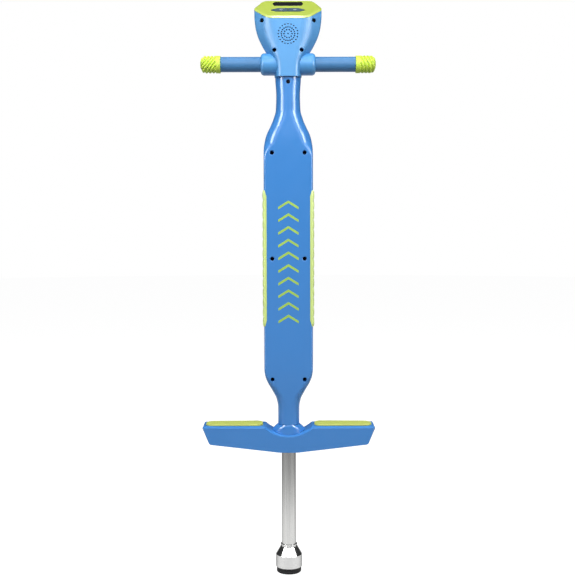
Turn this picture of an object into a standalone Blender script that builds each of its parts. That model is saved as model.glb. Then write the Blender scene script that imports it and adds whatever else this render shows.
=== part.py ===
"""Child's electronic pogo stick, built as the real one comes apart.

Frame: +Z up, the rider stands at -Y and looks along +Y, the handlebar and the footrest run
along X. The origin is the centre of the rubber foot's flat bottom. Units are metres.

A welded steel frame (tube, handlebar, footrest bars) is wrapped in moulded casings. The leg
slides in the frame tube on two nylon bushes against a coil spring, and the head holds a jump
counter with a display, two keys, a speaker and three cells.
"""
import bmesh
import bpy
from math import acos, cos, pi, radians, sin, sqrt, tan
from mathutils import Matrix, Vector

# ---------------------------------------------------------------- driving dimensions
GAP = 0.0003                    # clearance between pieces that touch
WALL = 0.0022                   # moulded wall thickness
TUBE_SIDES = 20                 # facets round a tube

# frame tube and leg
FRAME_TUBE_R = 0.0152
FRAME_TUBE_BORE_R = 0.0138
FRAME_TUBE_Z = (0.2120, 0.8620)
LEG_R = 0.0118
LEG_BORE_R = 0.0103
LEG_Z = (0.0200, 0.3160)
SLIDE_FIT = 0.0003              # radial clearance of a sliding bush

# spring between the plunger bush and the seat
SPRING_MEAN_R = 0.0112
SPRING_WIRE_R = 0.0017
SPRING_TURNS = 15
SPRING_Z = (0.3203, 0.6200)
PIN_R = 0.0030
PIN_Z = 0.6300

# handlebar
BAR_Z = 0.8480
BAR_TUBE_R = 0.0095
BAR_TUBE_HALF = 0.1375
SLEEVE_R = 0.0123
SLEEVE_X = (0.0400, 0.1105)
GRIP_R = 0.0142
GRIP_X = (0.1108, 0.1438)
HUB_R = 0.0180
HUB_X = 0.0450

# column casing: height, half width, half depth, corner radius
COLUMN = (
    (0.8262, 0.0210, 0.0205, 0.0195),
    (0.7970, 0.0194, 0.0205, 0.0188),
    (0.7740, 0.0202, 0.0206, 0.0194),
    (0.7580, 0.0245, 0.0209, 0.0200),
    (0.7460, 0.0296, 0.0212, 0.0203),
    (0.7330, 0.0357, 0.0216, 0.0205),
    (0.7220, 0.0386, 0.0219, 0.0195),
    (0.7110, 0.0400, 0.0220, 0.0120),
    (0.7010, 0.0403, 0.0220, 0.0055),
    (0.6900, 0.0403, 0.0220, 0.0040),
    (0.3470, 0.0403, 0.0220, 0.0040),
    (0.3350, 0.0388, 0.0218, 0.0060),
    (0.3250, 0.0354, 0.0215, 0.0090),
    (0.3100, 0.0273, 0.0210, 0.0130),
    (0.2950, 0.0202, 0.0204, 0.0150),
    (0.2820, 0.0180, 0.0198, 0.0150),
    (0.2538, 0.0178, 0.0190, 0.0150),
)
PAD_Z = (0.4180, 0.6420)        # side trim
PAD_THICKNESS = 0.0010
PAD_REACH = 0.0046              # how far it wraps onto the front and rear faces
PAD_SCALLOPS = 14
PAD_SCALLOP_DEPTH = 0.0012

# head casing: height, half width at the sides, of the front, of the rear, front edge radius
HEAD = (
    (0.8266, 0.0222, 0.0168, 0.0150, 0.0089),
    (0.8380, 0.0224, 0.0166, 0.0145, 0.0090),
    (0.8480, 0.0248, 0.0170, 0.0160, 0.0100),
    (0.8580, 0.0300, 0.0192, 0.0195, 0.0125),
    (0.8680, 0.0368, 0.0228, 0.0250, 0.0200),
    (0.8790, 0.0430, 0.0260, 0.0300, 0.0280),
    (0.8920, 0.0489, 0.0295, 0.0345, 0.0340),
    (0.9080, 0.0531, 0.0318, 0.0372, 0.0310),
    (0.9260, 0.0546, 0.0330, 0.0405, 0.0220),
    (0.9700, 0.0548, 0.0330, 0.0405, 0.0220),
)
HEAD_HALF_DEPTH = 0.0240
HEAD_FLOOR = 0.0024
BEZEL_TILT = radians(36.3)      # slope of the top face towards the rider
BEZEL_CENTRE_Z = 0.9382
BEZEL_THICKNESS = 0.0030
BEZEL_LIP = 0.0014
BEZEL_CHAMFER = 0.0045

# screws through the casings: x, z, front seat y, tip y
HEAD_SCREWS = ((-0.0423, 0.9170, -0.0070), (0.0423, 0.9170, -0.0070),
               (-0.0221, 0.8689, -0.0100), (0.0221, 0.8689, -0.0100))
COLUMN_SCREWS = {"shoulder_screw": 0.7031, "middle_screw": 0.5299, "lower_screw": 0.3301}
COLUMN_SCREW_X = 0.0266
COLUMN_SCREW_SEAT = -0.0100
NECK_SCREW_Z = 0.8179
NECK_SCREW_SEAT = -0.0172
RECESS_R = 0.0034
SCREW_HEAD_R = 0.0029
SCREW_R = 0.0014
SCREW_CLEAR_R = 0.0018
BOSS_R = 0.0050
REAR_BOSS_R = 0.0040

# footrest
REST_HALF_LENGTH = 0.1452
REST_FOOT_X = 0.1320            # lower corner of the slanted end
REST_FOOT_Z = 0.2213
REST_LOW_Z = 0.2077
REST_WALL = 0.0025
REST_DRAFT = 0.0008
REST_TOP_Z = 0.2520
REST_HALF_DEPTH = 0.0260
REST_CHAMFER = 0.0048
DIP_R = 0.0580
DIP_BOTTOM_Z = 0.2370
DIP_FILLET = 0.0060
FOOT_PAD_X = (0.0430, 0.1385)
FOOT_PAD_HALF_DEPTH = 0.0185
FOOT_PAD_THICKNESS = 0.0026
FOOTREST_SCREW_X = (-0.1150, -0.0650, 0.0650, 0.1150)

# foot
FOOT_RIM_R = 0.0219
RUBBER_R = 0.0206

BLUE = (0.085, 0.300, 0.760)
SATIN_BLUE = (0.060, 0.220, 0.480)
LIME = (0.560, 0.800, 0.090)
STEEL = (0.600, 0.600, 0.590)
ZINC = (0.500, 0.500, 0.480)
BLACK = (0.012, 0.012, 0.014)
NYLON = (0.800, 0.790, 0.740)


# ---------------------------------------------------------------- scene and materials
def empty_scene():
    """Remove whatever the file holds."""
    for item in list(bpy.data.objects):
        bpy.data.objects.remove(item, do_unlink=True)


def collection(name):
    """A new collection in the scene."""
    group = bpy.data.collections.new(name)
    bpy.context.scene.collection.children.link(group)
    return group


empty_scene()
PARTS = collection("pogo_stick")
CUTTERS = collection("cutters")


def material(name, color, roughness, metallic=0.0):
    """A Principled BSDF with one colour."""
    made = bpy.data.materials.new(name)
    made.use_nodes = True
    shader = made.node_tree.nodes["Principled BSDF"]
    shader.inputs["Base Color"].default_value = (*color, 1.0)
    shader.inputs["Roughness"].default_value = roughness
    shader.inputs["Metallic"].default_value = metallic
    return made


GLOSS_BLUE_FINISH = material("gloss_blue_plastic", BLUE, 0.25)
SLEEVE_FINISH = material("satin_blue_sleeve", SATIN_BLUE, 0.5)
LIME_FINISH = material("lime_plastic", LIME, 0.45)
LIME_RUBBER_FINISH = material("lime_rubber", LIME, 0.6)
STEEL_FINISH = material("leg_steel", STEEL, 0.3, 1.0)
CHROME_FINISH = material("foot_steel", (0.72, 0.72, 0.72), 0.15, 1.0)
FRAME_FINISH = material("frame_steel", ZINC, 0.5, 1.0)
RUBBER_FINISH = material("black_rubber", BLACK, 0.7)
SPRING_FINISH = material("spring_steel", (0.25, 0.25, 0.26), 0.4, 1.0)
NYLON_FINISH = material("nylon", NYLON, 0.5)
SCREW_FINISH = material("screw_steel", (0.08, 0.08, 0.08), 0.4, 1.0)
WINDOW_FINISH = material("smoked_window", BLACK, 0.1)
KEY_FINISH = material("slate_key", (0.05, 0.14, 0.24), 0.5)
BOARD_FINISH = material("circuit_board", (0.02, 0.22, 0.08), 0.5)
MODULE_FINISH = material("dark_plastic", (0.03, 0.03, 0.03), 0.5)
CELL_FINISH = material("cell_case", (0.10, 0.10, 0.12), 0.35, 0.6)


# ---------------------------------------------------------------- building blocks
def add_object(name, mesh, finish, group=PARTS):
    """Link a mesh as a named object."""
    mesh.name = name
    made = bpy.data.objects.new(name, mesh)
    group.objects.link(made)
    mesh.materials.clear()
    if finish:
        mesh.materials.append(finish)
    if group is CUTTERS:
        made.hide_render = True
        made.display_type = "WIRE"
    return made


def mesh_from(work):
    """Turn a bmesh into a mesh with its faces pointing out."""
    bmesh.ops.recalc_face_normals(work, faces=work.faces)
    mesh = bpy.data.meshes.new("mesh")
    work.to_mesh(mesh)
    work.free()
    return mesh


def baked(source):
    """The evaluated mesh of an object, which is then removed."""
    graph = bpy.context.evaluated_depsgraph_get()
    mesh = bpy.data.meshes.new_from_object(source.evaluated_get(graph))
    mesh.transform(source.matrix_world)
    bpy.data.objects.remove(source, do_unlink=True)
    return mesh


def solid(mesh, group=CUTTERS):
    """A nameless solid used to cut or to join."""
    return add_object("cutter", mesh, None, group)


def combine(target, others, operation):
    """Cut or join solids into the target, then drop them."""
    for other in others:
        change = target.modifiers.new(operation.lower(), "BOOLEAN")
        change.operation = operation
        change.solver = "EXACT"
        change.object = other
        graph = bpy.context.evaluated_depsgraph_get()
        mesh = bpy.data.meshes.new_from_object(target.evaluated_get(graph))
        target.modifiers.clear()
        target.data = mesh
        bpy.data.objects.remove(other, do_unlink=True)
    return target


def cut(target, *others):
    """Remove solids from the target."""
    return combine(target, others, "DIFFERENCE")


def join(target, *others):
    """Add solids to the target."""
    return combine(target, others, "UNION")


def finish_piece(target, name, look):
    """Name a finished solid, give it its material and shade it."""
    target.name = name
    target.data.name = name
    target.data.materials.clear()
    target.data.materials.append(look)
    if target.name not in PARTS.objects:
        PARTS.objects.link(target)
    if target.name in CUTTERS.objects:
        CUTTERS.objects.unlink(target)
    target.hide_render = False
    target.display_type = "TEXTURED"
    target.data.shade_smooth()
    target.data.set_sharp_from_angle(angle=radians(35))
    return target


def box(low, high, turn=None):
    """A box between two corners, then turned by a matrix."""
    work = bmesh.new()
    bmesh.ops.create_cube(work, size=1.0)
    low, high = Vector(low), Vector(high)
    size = high - low
    bmesh.ops.scale(work, vec=size, verts=work.verts)
    bmesh.ops.translate(work, vec=(low + high) / 2, verts=work.verts)
    if turn is not None:
        bmesh.ops.transform(work, matrix=turn, verts=work.verts)
    return solid(mesh_from(work))


def rod(axis, start, end, radius, centre=(0.0, 0.0), sides=16, turn=None, end_radius=None):
    """A cylinder or cone along X, Y or Z from start to end, centred on the other two."""
    work = bmesh.new()
    top = radius if end_radius is None else end_radius
    bmesh.ops.create_cone(work, cap_ends=True, segments=sides, radius1=radius, radius2=top,
                          depth=end - start)
    bmesh.ops.translate(work, vec=(0, 0, (start + end) / 2), verts=work.verts)
    first, second = centre
    place = {
        "X": Matrix.Translation((0, first, second)) @ Matrix.Rotation(pi / 2, 4, "Y"),
        "Y": Matrix.Translation((first, 0, second)) @ Matrix.Rotation(-pi / 2, 4, "X"),
        "Z": Matrix.Translation((first, second, 0)),
    }[axis]
    bmesh.ops.transform(work, matrix=place, verts=work.verts)
    if turn is not None:
        bmesh.ops.transform(work, matrix=turn, verts=work.verts)
    return solid(mesh_from(work))


def turned(profile, sides=TUBE_SIDES, place=None):
    """A solid of revolution about Z from a closed (radius, height) outline."""
    mesh = bpy.data.meshes.new("profile")
    points = [(radius, 0.0, height) for radius, height in profile]
    edges = [(i, (i + 1) % len(points)) for i in range(len(points))]
    if profile[0][0] == 0.0 and profile[-1][0] == 0.0:
        edges.pop()
    mesh.from_pydata(points, edges, [])
    made = solid(mesh)
    screw = made.modifiers.new("screw", "SCREW")
    screw.steps = sides
    screw.render_steps = sides
    screw.use_merge_vertices = True
    screw.merge_threshold = 0.00001
    screw.use_normal_calculate = True
    mesh = baked(made)
    if place is not None:
        mesh.transform(place)
    work = bmesh.new()
    work.from_mesh(mesh)
    bmesh.ops.remove_doubles(work, verts=work.verts, dist=0.00001)
    return solid(mesh_from(work))


def ring_profile(outer, inner, low, high):
    """The outline of a plain tube."""
    return [(outer, high), (outer, low), (inner, low), (inner, high)]


def loft(rings, closed_ends=True):
    """Faces between successive closed rings of points, with flat ends."""
    work = bmesh.new()
    rows = [[work.verts.new(point) for point in ring] for ring in rings]
    count = len(rows[0])
    for lower, upper in zip(rows, rows[1:]):
        for i in range(count):
            j = (i + 1) % count
            work.faces.new((lower[i], lower[j], upper[j], upper[i]))
    if closed_ends:
        work.faces.new(rows[0])
        work.faces.new(rows[-1])
    return solid(mesh_from(work))


def prism(outline, low, high, turn=None):
    """An XY outline extruded along Z, then turned by a matrix."""
    rings = [[Vector((x, y, z)) for x, y in outline] for z in (low, high)]
    made = loft(rings)
    if turn is not None:
        made.data.transform(turn)
    return made


def rounded(corners, radii, steps):
    """A closed outline whose corners are arcs; radii and steps are given for each corner."""
    points = []
    count = len(corners)
    for i in range(count):
        corner = Vector(corners[i])
        back = (Vector(corners[i - 1]) - corner).normalized()
        ahead = (Vector(corners[(i + 1) % count]) - corner).normalized()
        half = back.angle(ahead) / 2
        centre = corner + (back + ahead).normalized() * (radii[i] / sin(half))
        first = corner + back * (radii[i] / tan(half)) - centre
        last = corner + ahead * (radii[i] / tan(half)) - centre
        sweep = first.angle(last)
        for k in range(steps[i] + 1):
            share = k / steps[i]
            spoke = (first * sin((1 - share) * sweep) + last * sin(share * sweep)) / sin(sweep)
            points.append(centre + spoke)
    return points


def inset(outline, distance):
    """Move an anticlockwise outline inwards; distance is a number or one for each point."""
    moved = []
    count = len(outline)
    for i, point in enumerate(outline):
        before = (point - outline[i - 1]).normalized()
        after = (outline[(i + 1) % count] - point).normalized()
        normal = Vector((-(before.y + after.y), before.x + after.x)).normalized()
        reach = distance if isinstance(distance, float) else distance[i]
        stretch = max(normal.dot(Vector((-after.y, after.x))), 0.5)
        moved.append(point + normal * (reach / stretch))
    return moved


def smooth(table, height):
    """Values of a table at a height, by cubic curves that don't overshoot its rows."""
    rows = sorted(table)
    height = min(max(height, rows[0][0]), rows[-1][0])
    k = max(i for i in range(len(rows) - 1) if rows[i][0] <= height)
    span = rows[k + 1][0] - rows[k][0]
    share = (height - rows[k][0]) / span
    values = []
    for column in range(1, len(rows[0])):
        slopes = [(rows[i + 1][column] - rows[i][column]) / (rows[i + 1][0] - rows[i][0])
                  for i in range(len(rows) - 1)]

        def tangent(i):
            if i == 0 or i == len(rows) - 1:
                return 0.0
            before, after = slopes[i - 1], slopes[i]
            return 0.0 if before * after <= 0 else 2 * before * after / (before + after)

        start, end = rows[k][column], rows[k + 1][column]
        bend = (2 * share**3 - 3 * share**2 + 1) * start
        bend += (share**3 - 2 * share**2 + share) * span * tangent(k)
        bend += (3 * share**2 - 2 * share**3) * end
        bend += (share**3 - share**2) * span * tangent(k + 1)
        values.append(bend)
    return values


# ---------------------------------------------------------------- frame
def frame_tube():
    """The steel outer tube, drilled for the handlebar, its bolt, the pin and the neck screw."""
    low, high = FRAME_TUBE_Z
    tube = turned(ring_profile(FRAME_TUBE_R, FRAME_TUBE_BORE_R, low, high))
    reach = FRAME_TUBE_R + 0.002
    cut(tube,
        rod("X", -reach, reach, BAR_TUBE_R + GAP, (0, BAR_Z), TUBE_SIDES),
        rod("Y", -reach, reach, 0.0033, (0, BAR_Z), 12),
        rod("X", -reach, reach, PIN_R + GAP, (0, PIN_Z), 12),
        rod("Y", -reach, -0.010, SCREW_CLEAR_R, (0, NECK_SCREW_Z), 8))
    return finish_piece(tube, "frame_tube", FRAME_FINISH)


def handlebar_tube():
    """The steel bar through the top of the frame tube."""
    lie = Matrix.Translation((0, 0, BAR_Z)) @ Matrix.Rotation(pi / 2, 4, "Y")
    tube = turned(ring_profile(BAR_TUBE_R, BAR_TUBE_R - 0.0015, -BAR_TUBE_HALF, BAR_TUBE_HALF),
                  16, lie)
    cut(tube, rod("Y", -0.012, 0.012, 0.0033, (0, BAR_Z), 12))
    return finish_piece(tube, "handlebar_tube", FRAME_FINISH)


def handlebar_bolt():
    """A hexagon bolt that locks the bar in the tube."""
    face = FRAME_TUBE_R + GAP
    bolt = rod("Y", -face - 0.0040, -face, 0.0056, (0, BAR_Z), 6)
    join(bolt, rod("Y", -face - 0.0020, face + 0.0052, 0.0029, (0, BAR_Z), 12))
    return finish_piece(bolt, "handlebar_bolt", SCREW_FINISH)


def handlebar_nut():
    """The nut behind the tube."""
    face = FRAME_TUBE_R + GAP
    nut = rod("Y", face, face + 0.0045, 0.0056, (0, BAR_Z), 6)
    cut(nut, rod("Y", face - 0.001, face + 0.006, 0.0032, (0, BAR_Z), 12))
    return finish_piece(nut, "handlebar_nut", SCREW_FINISH)


def sideways(side):
    """Turn a piece made along +Z to lie along the bar, on the +X or the -X side."""
    return Matrix.Translation((0, 0, BAR_Z)) @ Matrix.Rotation(side * pi / 2, 4, "Y")


def grip_sleeve(name, side):
    """The soft blue sleeve on one side of the bar."""
    low, high = SLEEVE_X
    sleeve = turned(ring_profile(SLEEVE_R, BAR_TUBE_R + GAP, low, high), 20, sideways(side))
    return finish_piece(sleeve, name, SLEEVE_FINISH)


def grip_end(name, side):
    """The lime cap on the end of the bar, with a domed outer end."""
    low, high = GRIP_X
    bore = BAR_TUBE_R + GAP
    crown, edge = 0.0052, 0.0032
    arc = [(GRIP_R * share, high - crown * share**2.4) for share in (0.0, 0.45, 0.72, 0.9)]
    profile = arc + [(GRIP_R, high - crown - edge)]
    profile += [(GRIP_R, low + 0.0008), (GRIP_R - 0.0008, low), (bore, low)]
    profile += [(bore, BAR_TUBE_HALF + GAP),
                (0.0, BAR_TUBE_HALF + GAP)]
    cap = turned(profile, 20, sideways(side))
    return finish_piece(cap, name, LIME_RUBBER_FINISH)


# ---------------------------------------------------------------- leg, spring and foot
def leg_tube():
    """The bright steel tube that slides in the frame tube."""
    low, high = LEG_Z
    tube = turned(ring_profile(LEG_R, LEG_BORE_R, low, high), 24)
    return finish_piece(tube, "leg_tube", STEEL_FINISH)


def plunger_bush():
    """The nylon cap on the leg's upper end, which guides it and carries the spring."""
    outer = FRAME_TUBE_BORE_R - SLIDE_FIT
    inner = LEG_R + GAP
    top = SPRING_Z[0] - GAP
    seat = LEG_Z[1] + GAP
    low = 0.2850
    profile = [(outer, top), (outer, low), (inner, low), (inner, seat), (0.0060, seat),
               (0.0060, top)]
    return finish_piece(turned(profile), "plunger_bush", NYLON_FINISH)


def bump_stop():
    """The rubber ring that the plunger rests on when the leg is out."""
    ring = turned(ring_profile(FRAME_TUBE_BORE_R - GAP, LEG_R + GAP, 0.2700, 0.2847))
    return finish_piece(ring, "bump_stop", RUBBER_FINISH)


def guide_bush():
    """The nylon bush in the tube's mouth, with a flange below it."""
    outer = FRAME_TUBE_BORE_R - GAP
    mouth = FRAME_TUBE_Z[0] - GAP
    inner = LEG_R + SLIDE_FIT
    profile = [(outer, 0.2697), (outer, mouth), (FRAME_TUBE_R, mouth), (FRAME_TUBE_R, mouth - 0.0028),
               (inner, mouth - 0.0028), (inner, 0.2697)]
    return finish_piece(turned(profile), "guide_bush", NYLON_FINISH)


def spring():
    """The coil spring, with its end turns closed up."""
    low, high = SPRING_Z
    points_per_turn = 8
    count = SPRING_TURNS * points_per_turn
    closed = 1.5 / SPRING_TURNS
    tight = 2.3 * SPRING_WIRE_R * 1.5
    start, end = low + SPRING_WIRE_R + GAP, high - SPRING_WIRE_R - GAP
    path = bpy.data.curves.new("spring", "CURVE")
    path.dimensions = "3D"
    path.bevel_depth = SPRING_WIRE_R
    path.bevel_resolution = 2
    path.use_fill_caps = True
    line = path.splines.new("POLY")
    line.points.add(count)
    for i in range(count + 1):
        share = i / count
        if share < closed:
            height = start + tight * share / closed
        elif share > 1 - closed:
            height = end - tight * (1 - share) / closed
        else:
            middle = (share - closed) / (1 - 2 * closed)
            height = start + tight + (end - start - 2 * tight) * middle
        angle = 2 * pi * SPRING_TURNS * share
        spot = (SPRING_MEAN_R * cos(angle), SPRING_MEAN_R * sin(angle), height, 1.0)
        line.points[i].co = spot
    coil = bpy.data.objects.new("spring_path", path)
    CUTTERS.objects.link(coil)
    work = bmesh.new()
    work.from_mesh(baked(coil))
    bmesh.ops.remove_doubles(work, verts=work.verts, dist=0.00001)
    return finish_piece(solid(mesh_from(work)), "spring", SPRING_FINISH)


def spring_seat():
    """The nylon plug above the spring, with a nose inside its coils."""
    outer = FRAME_TUBE_BORE_R - GAP
    low = SPRING_Z[1] + GAP
    profile = [(0.0, 0.6420), (outer, 0.6420), (outer, low), (0.0086, low),
               (0.0076, low - 0.012), (0.0, low - 0.012)]
    seat = turned(profile)
    cut(seat, rod("X", -0.02, 0.02, PIN_R + GAP, (0, PIN_Z), 12))
    return finish_piece(seat, "spring_seat", NYLON_FINISH)


def spring_pin():
    """The steel pin across the tube that holds the seat."""
    half = FRAME_TUBE_R - GAP
    pin = rod("X", -half, half, PIN_R, (0, PIN_Z), 12)
    return finish_piece(pin, "spring_pin", SCREW_FINISH)


def foot_collar():
    """The bright steel socket: a lip, a cone and a cylinder, open below for the rubber."""
    bore = LEG_R + GAP
    profile = [(0.0136, 0.0483), (0.0136, 0.0461), (0.0128, 0.0457), (0.0128, 0.0443),
               (0.0140, 0.0439), (FOOT_RIM_R, 0.0305), (FOOT_RIM_R, 0.0095), (0.0190, 0.0095),
               (0.0190, 0.0172), (0.0, 0.0172), (0.0, 0.0197), (bore, 0.0197), (bore, 0.0483)]
    return finish_piece(turned(profile, 24), "foot_collar", CHROME_FINISH)


def rubber_foot():
    """The black rubber tip, flat below with a rounded edge."""
    round_over = 0.0035
    arc = [(RUBBER_R - round_over * (1 - cos(a)), round_over * (1 - sin(a)))
           for a in (radians(45 * step) for step in range(3))]
    profile = [(0.0, 0.0169), (0.0187, 0.0169), (0.0187, 0.0092), (RUBBER_R, 0.0092)]
    profile += arc + [(0.0, 0.0)]
    return finish_piece(turned(profile, 24), "rubber_foot", RUBBER_FINISH)


# ---------------------------------------------------------------- screws and bosses
def casing_screw(name, x, z, seat, tip):
    """A pan-head screw along +Y whose head rests on a seat."""
    head_height = 0.0022
    lie = Matrix.Translation((x, seat - GAP, z)) @ Matrix.Rotation(-pi / 2, 4, "X")
    length = tip - seat + GAP
    profile = [(0.0, length), (SCREW_R, length - 0.0015), (SCREW_R, 0.0), (SCREW_HEAD_R, 0.0),
               (SCREW_HEAD_R * 0.75, -head_height), (0.0, -head_height)]
    return finish_piece(turned(profile, 8, lie), name, SCREW_FINISH)


def front_boss(shell, x, z, wall_y, seat, end=-0.0006, within=None):
    """Add a recessed boss for a screw head to a front casing."""
    boss = rod("Y", wall_y, end, BOSS_R, (x, z), 8)
    if within:
        combine(boss, [within()], "INTERSECT")
    join(shell, boss)
    cut(shell,
        rod("Y", -0.030, seat, RECESS_R, (x, z), 12),
        rod("Y", seat - 0.001, 0.001, SCREW_CLEAR_R, (x, z), 6))


def rear_boss(shell, x, z, wall_y, within=None):
    """Add a boss with a blind hole for a screw to a rear casing."""
    boss = rod("Y", 0.0006, wall_y, REAR_BOSS_R, (x, z), 8)
    if within:
        combine(boss, [within()], "INTERSECT")
    join(shell, boss)
    cut(shell, rod("Y", -0.001, wall_y - 0.003, SCREW_CLEAR_R, (x, z), 6))


# ---------------------------------------------------------------- column casing
def column_section(height, steps=4):
    """The rounded rectangle of the column at a height, from its right side anticlockwise."""
    half_width, half_depth, radius = smooth(COLUMN, height)
    corners = ((half_width, -half_depth), (half_width, half_depth),
               (-half_width, half_depth), (-half_width, -half_depth))
    return rounded(corners, [radius] * 4, [steps] * 4)


def column_heights():
    """Heights of the rings, from the top down."""
    rows = [row[0] for row in COLUMN]
    heights = [rows[0]]
    for upper, lower in zip(rows, rows[1:]):
        heights.append(lower)
    return heights


def column_half(front):
    """One moulded half: an open surface with a wall added inwards."""
    sign = -1.0 if front else 1.0
    work = bmesh.new()
    rows = []
    for height in column_heights():
        half_width = smooth(COLUMN, height)[0]
        side = [point for point in column_section(height) if point.y * sign > 0]
        side.sort(key=lambda point: point.x)
        ring = [Vector((-half_width, sign * GAP / 2))] + side
        ring += [Vector((half_width, sign * GAP / 2))]
        rows.append([work.verts.new((point.x, point.y, height)) for point in ring])
    for upper, lower in zip(rows, rows[1:]):
        for i in range(len(upper) - 1):
            corners = (upper[i], lower[i], lower[i + 1], upper[i + 1])
            work.faces.new(corners if front else corners[::-1])
    mesh = bpy.data.meshes.new("half")
    work.to_mesh(mesh)
    work.free()
    half = solid(mesh)
    thicken = half.modifiers.new("wall", "SOLIDIFY")
    thicken.thickness = WALL
    thicken.offset = -1.0
    thicken.use_even_offset = True
    return solid(baked(half))


def column_screw_places():
    """Name, x and z of each screw below the neck."""
    return [(name + suffix, side * COLUMN_SCREW_X, z)
            for name, z in COLUMN_SCREWS.items()
            for suffix, side in (("_left", -1), ("_right", 1))]


def body_front_shell():
    """The front half of the column casing, with its screw recesses."""
    shell = column_half(True)
    for _, x, z in column_screw_places():
        front_boss(shell, x, z, -0.0208, COLUMN_SCREW_SEAT)
    front_boss(shell, 0.0, NECK_SCREW_Z, -0.0195, NECK_SCREW_SEAT, -FRAME_TUBE_R - GAP)
    return finish_piece(shell, "body_front_shell", GLOSS_BLUE_FINISH)


def body_rear_shell():
    """The rear half of the column casing."""
    shell = column_half(False)
    for _, x, z in column_screw_places():
        rear_boss(shell, x, z, 0.0208)
    return finish_piece(shell, "body_rear_shell", GLOSS_BLUE_FINISH)


def column_screws():
    """All the screws that hold the column casing."""
    for name, x, z in column_screw_places():
        casing_screw(name, x, z, COLUMN_SCREW_SEAT, 0.0140)
    casing_screw("neck_screw", 0.0, NECK_SCREW_Z, NECK_SCREW_SEAT, -0.0080)


def side_pad(name, side):
    """A lime trim that wraps one edge of the column and has a scalloped outer face."""
    low, high = PAD_Z
    half_width, half_depth, radius = smooth(COLUMN, (low + high) / 2)
    steps_per_scallop = 2
    rows = PAD_SCALLOPS * steps_per_scallop
    rings = []
    for k in range(rows + 1):
        height = low + (high - low) * k / rows
        end = min(k, rows - k) / steps_per_scallop
        reach = PAD_REACH * min(1.0, 0.35 + 0.65 * end)
        wave = 0.5 - 0.5 * cos(2 * pi * k / steps_per_scallop)
        bulge = PAD_THICKNESS + PAD_SCALLOP_DEPTH * wave
        outer, inner = [], []
        for thickness, line in ((bulge, outer), (GAP, inner)):
            face = half_depth + (PAD_THICKNESS if line is outer else GAP)
            flank = half_width + thickness
            turn = radius + thickness
            centre_x, centre_y = flank - turn, face - turn
            line.append((half_width - reach, -face))
            for step in range(4):
                angle = -pi / 2 + step * pi / 6
                line.append((centre_x + turn * cos(angle), -centre_y + turn * sin(angle)))
            for step in range(4):
                angle = step * pi / 6
                line.append((centre_x + turn * cos(angle), centre_y + turn * sin(angle)))
            line.append((half_width - reach, face))
        ring = outer + inner[::-1]
        rings.append([Vector((side * x, y, height)) for x, y in ring])
    return finish_piece(loft(rings), name, LIME_FINISH)


# ---------------------------------------------------------------- head
def head_section(height, margin=0.0):
    """The rounded hexagon of the head at a height, moved inwards by a margin."""
    side, front, rear, front_r = smooth(HEAD, height)
    depth = HEAD_HALF_DEPTH
    scale = side / HEAD[-1][1]
    side_r, rear_r = 0.007 * scale, 0.016 * scale
    peak = side + side_r * (sqrt(1 + ((side - front) / depth)**2) - 1)
    corners = ((front, -depth), (peak, 0.0), (rear, depth),
               (-rear, depth), (-peak, 0.0), (-front, -depth))
    outline = rounded(corners, [front_r, side_r, rear_r, rear_r, side_r, front_r],
                      [3, 2, 3, 3, 2, 3])
    return inset(outline, margin) if margin else outline


def head_heights(low, high):
    """Heights of the head's rings between two limits."""
    count = 10
    top = 0.9260
    heights = [low + (top - low) * k / count for k in range(count + 1)]
    return heights + [high]


def head_block(low, high, margin):
    """The head's outer or inner shape as one solid."""
    rings = [[Vector((point.x, point.y, height)) for point in head_section(height, margin)]
             for height in head_heights(low, high)]
    return loft(rings)


BEZEL_FRAME = (Matrix.Translation((0, 0, BEZEL_CENTRE_Z)) @ Matrix.Rotation(BEZEL_TILT, 4, "X"))


def hub(radius, half_length, edge):
    """A cylinder along the bar with rounded ends, for both hubs at once."""
    arc = [(radius - edge + edge * cos(a), half_length - edge + edge * sin(a))
           for a in (radians(30 * step) for step in range(4))]
    rings = []
    for across, along in [(r, -x) for r, x in arc[::-1]] + arc:
        rings.append([Vector((along, across * cos(a), BAR_Z + across * sin(a)))
                      for a in (2 * pi * (k + 0.5) / 20 for k in range(20))])
    return loft(rings)


def head_casing():
    """The whole hollow head casing, before it is parted."""
    low = HEAD[0][0]
    casing = head_block(low, 0.9700, 0.0)
    join(casing, hub(HUB_R, HUB_X, 0.0062))
    cavity = head_block(low + HEAD_FLOOR, 0.9800, WALL)
    join(cavity, rod("X", -HUB_X + 0.0045, HUB_X - 0.0045, HUB_R - WALL, (0, BAR_Z), 20))
    slab = box((-0.1, -0.1, -BEZEL_LIP - GAP), (0.1, 0.1, 0.1), BEZEL_FRAME)
    cut(casing, cavity, slab,
        rod("X", -0.06, 0.06, SLEEVE_R + GAP, (0, BAR_Z), 20),
        rod("Z", 0.80, 0.84, FRAME_TUBE_R + GAP, (0, 0), TUBE_SIDES))
    return casing


def head_core():
    """The head's shape halfway through its wall, which no boss may pass."""
    return head_block(HEAD[0][0] + 0.001, 0.9700, WALL / 2)


def grille_holes():
    """The speaker's sound holes: one in the middle and three rings."""
    centre_z = 0.8939
    holes = [(0.0, 0.0)]
    for radius, count in ((0.0065, 10), (0.0109, 20), (0.0158, 20)):
        for k in range(count):
            angle = 2 * pi * k / count
            holes.append((radius * cos(angle), radius * sin(angle)))
    return [rod("Y", -0.030, -0.018, 0.0010, (x, centre_z + z), 6) for x, z in holes]


def head_front_shell():
    """The half of the head that faces the rider."""
    shell = head_casing()
    cut(shell, box((-0.1, -GAP / 2, 0.8), (0.1, 0.1, 1.0)))
    for x, z, seat in HEAD_SCREWS:
        front_boss(shell, x, z, -0.0250, seat, within=head_core)
    work = bmesh.new()
    for hole in grille_holes():
        work.from_mesh(hole.data)
        bpy.data.objects.remove(hole, do_unlink=True)
    cut(shell, solid(mesh_from(work)))
    return finish_piece(shell, "head_front_shell", GLOSS_BLUE_FINISH)


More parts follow.
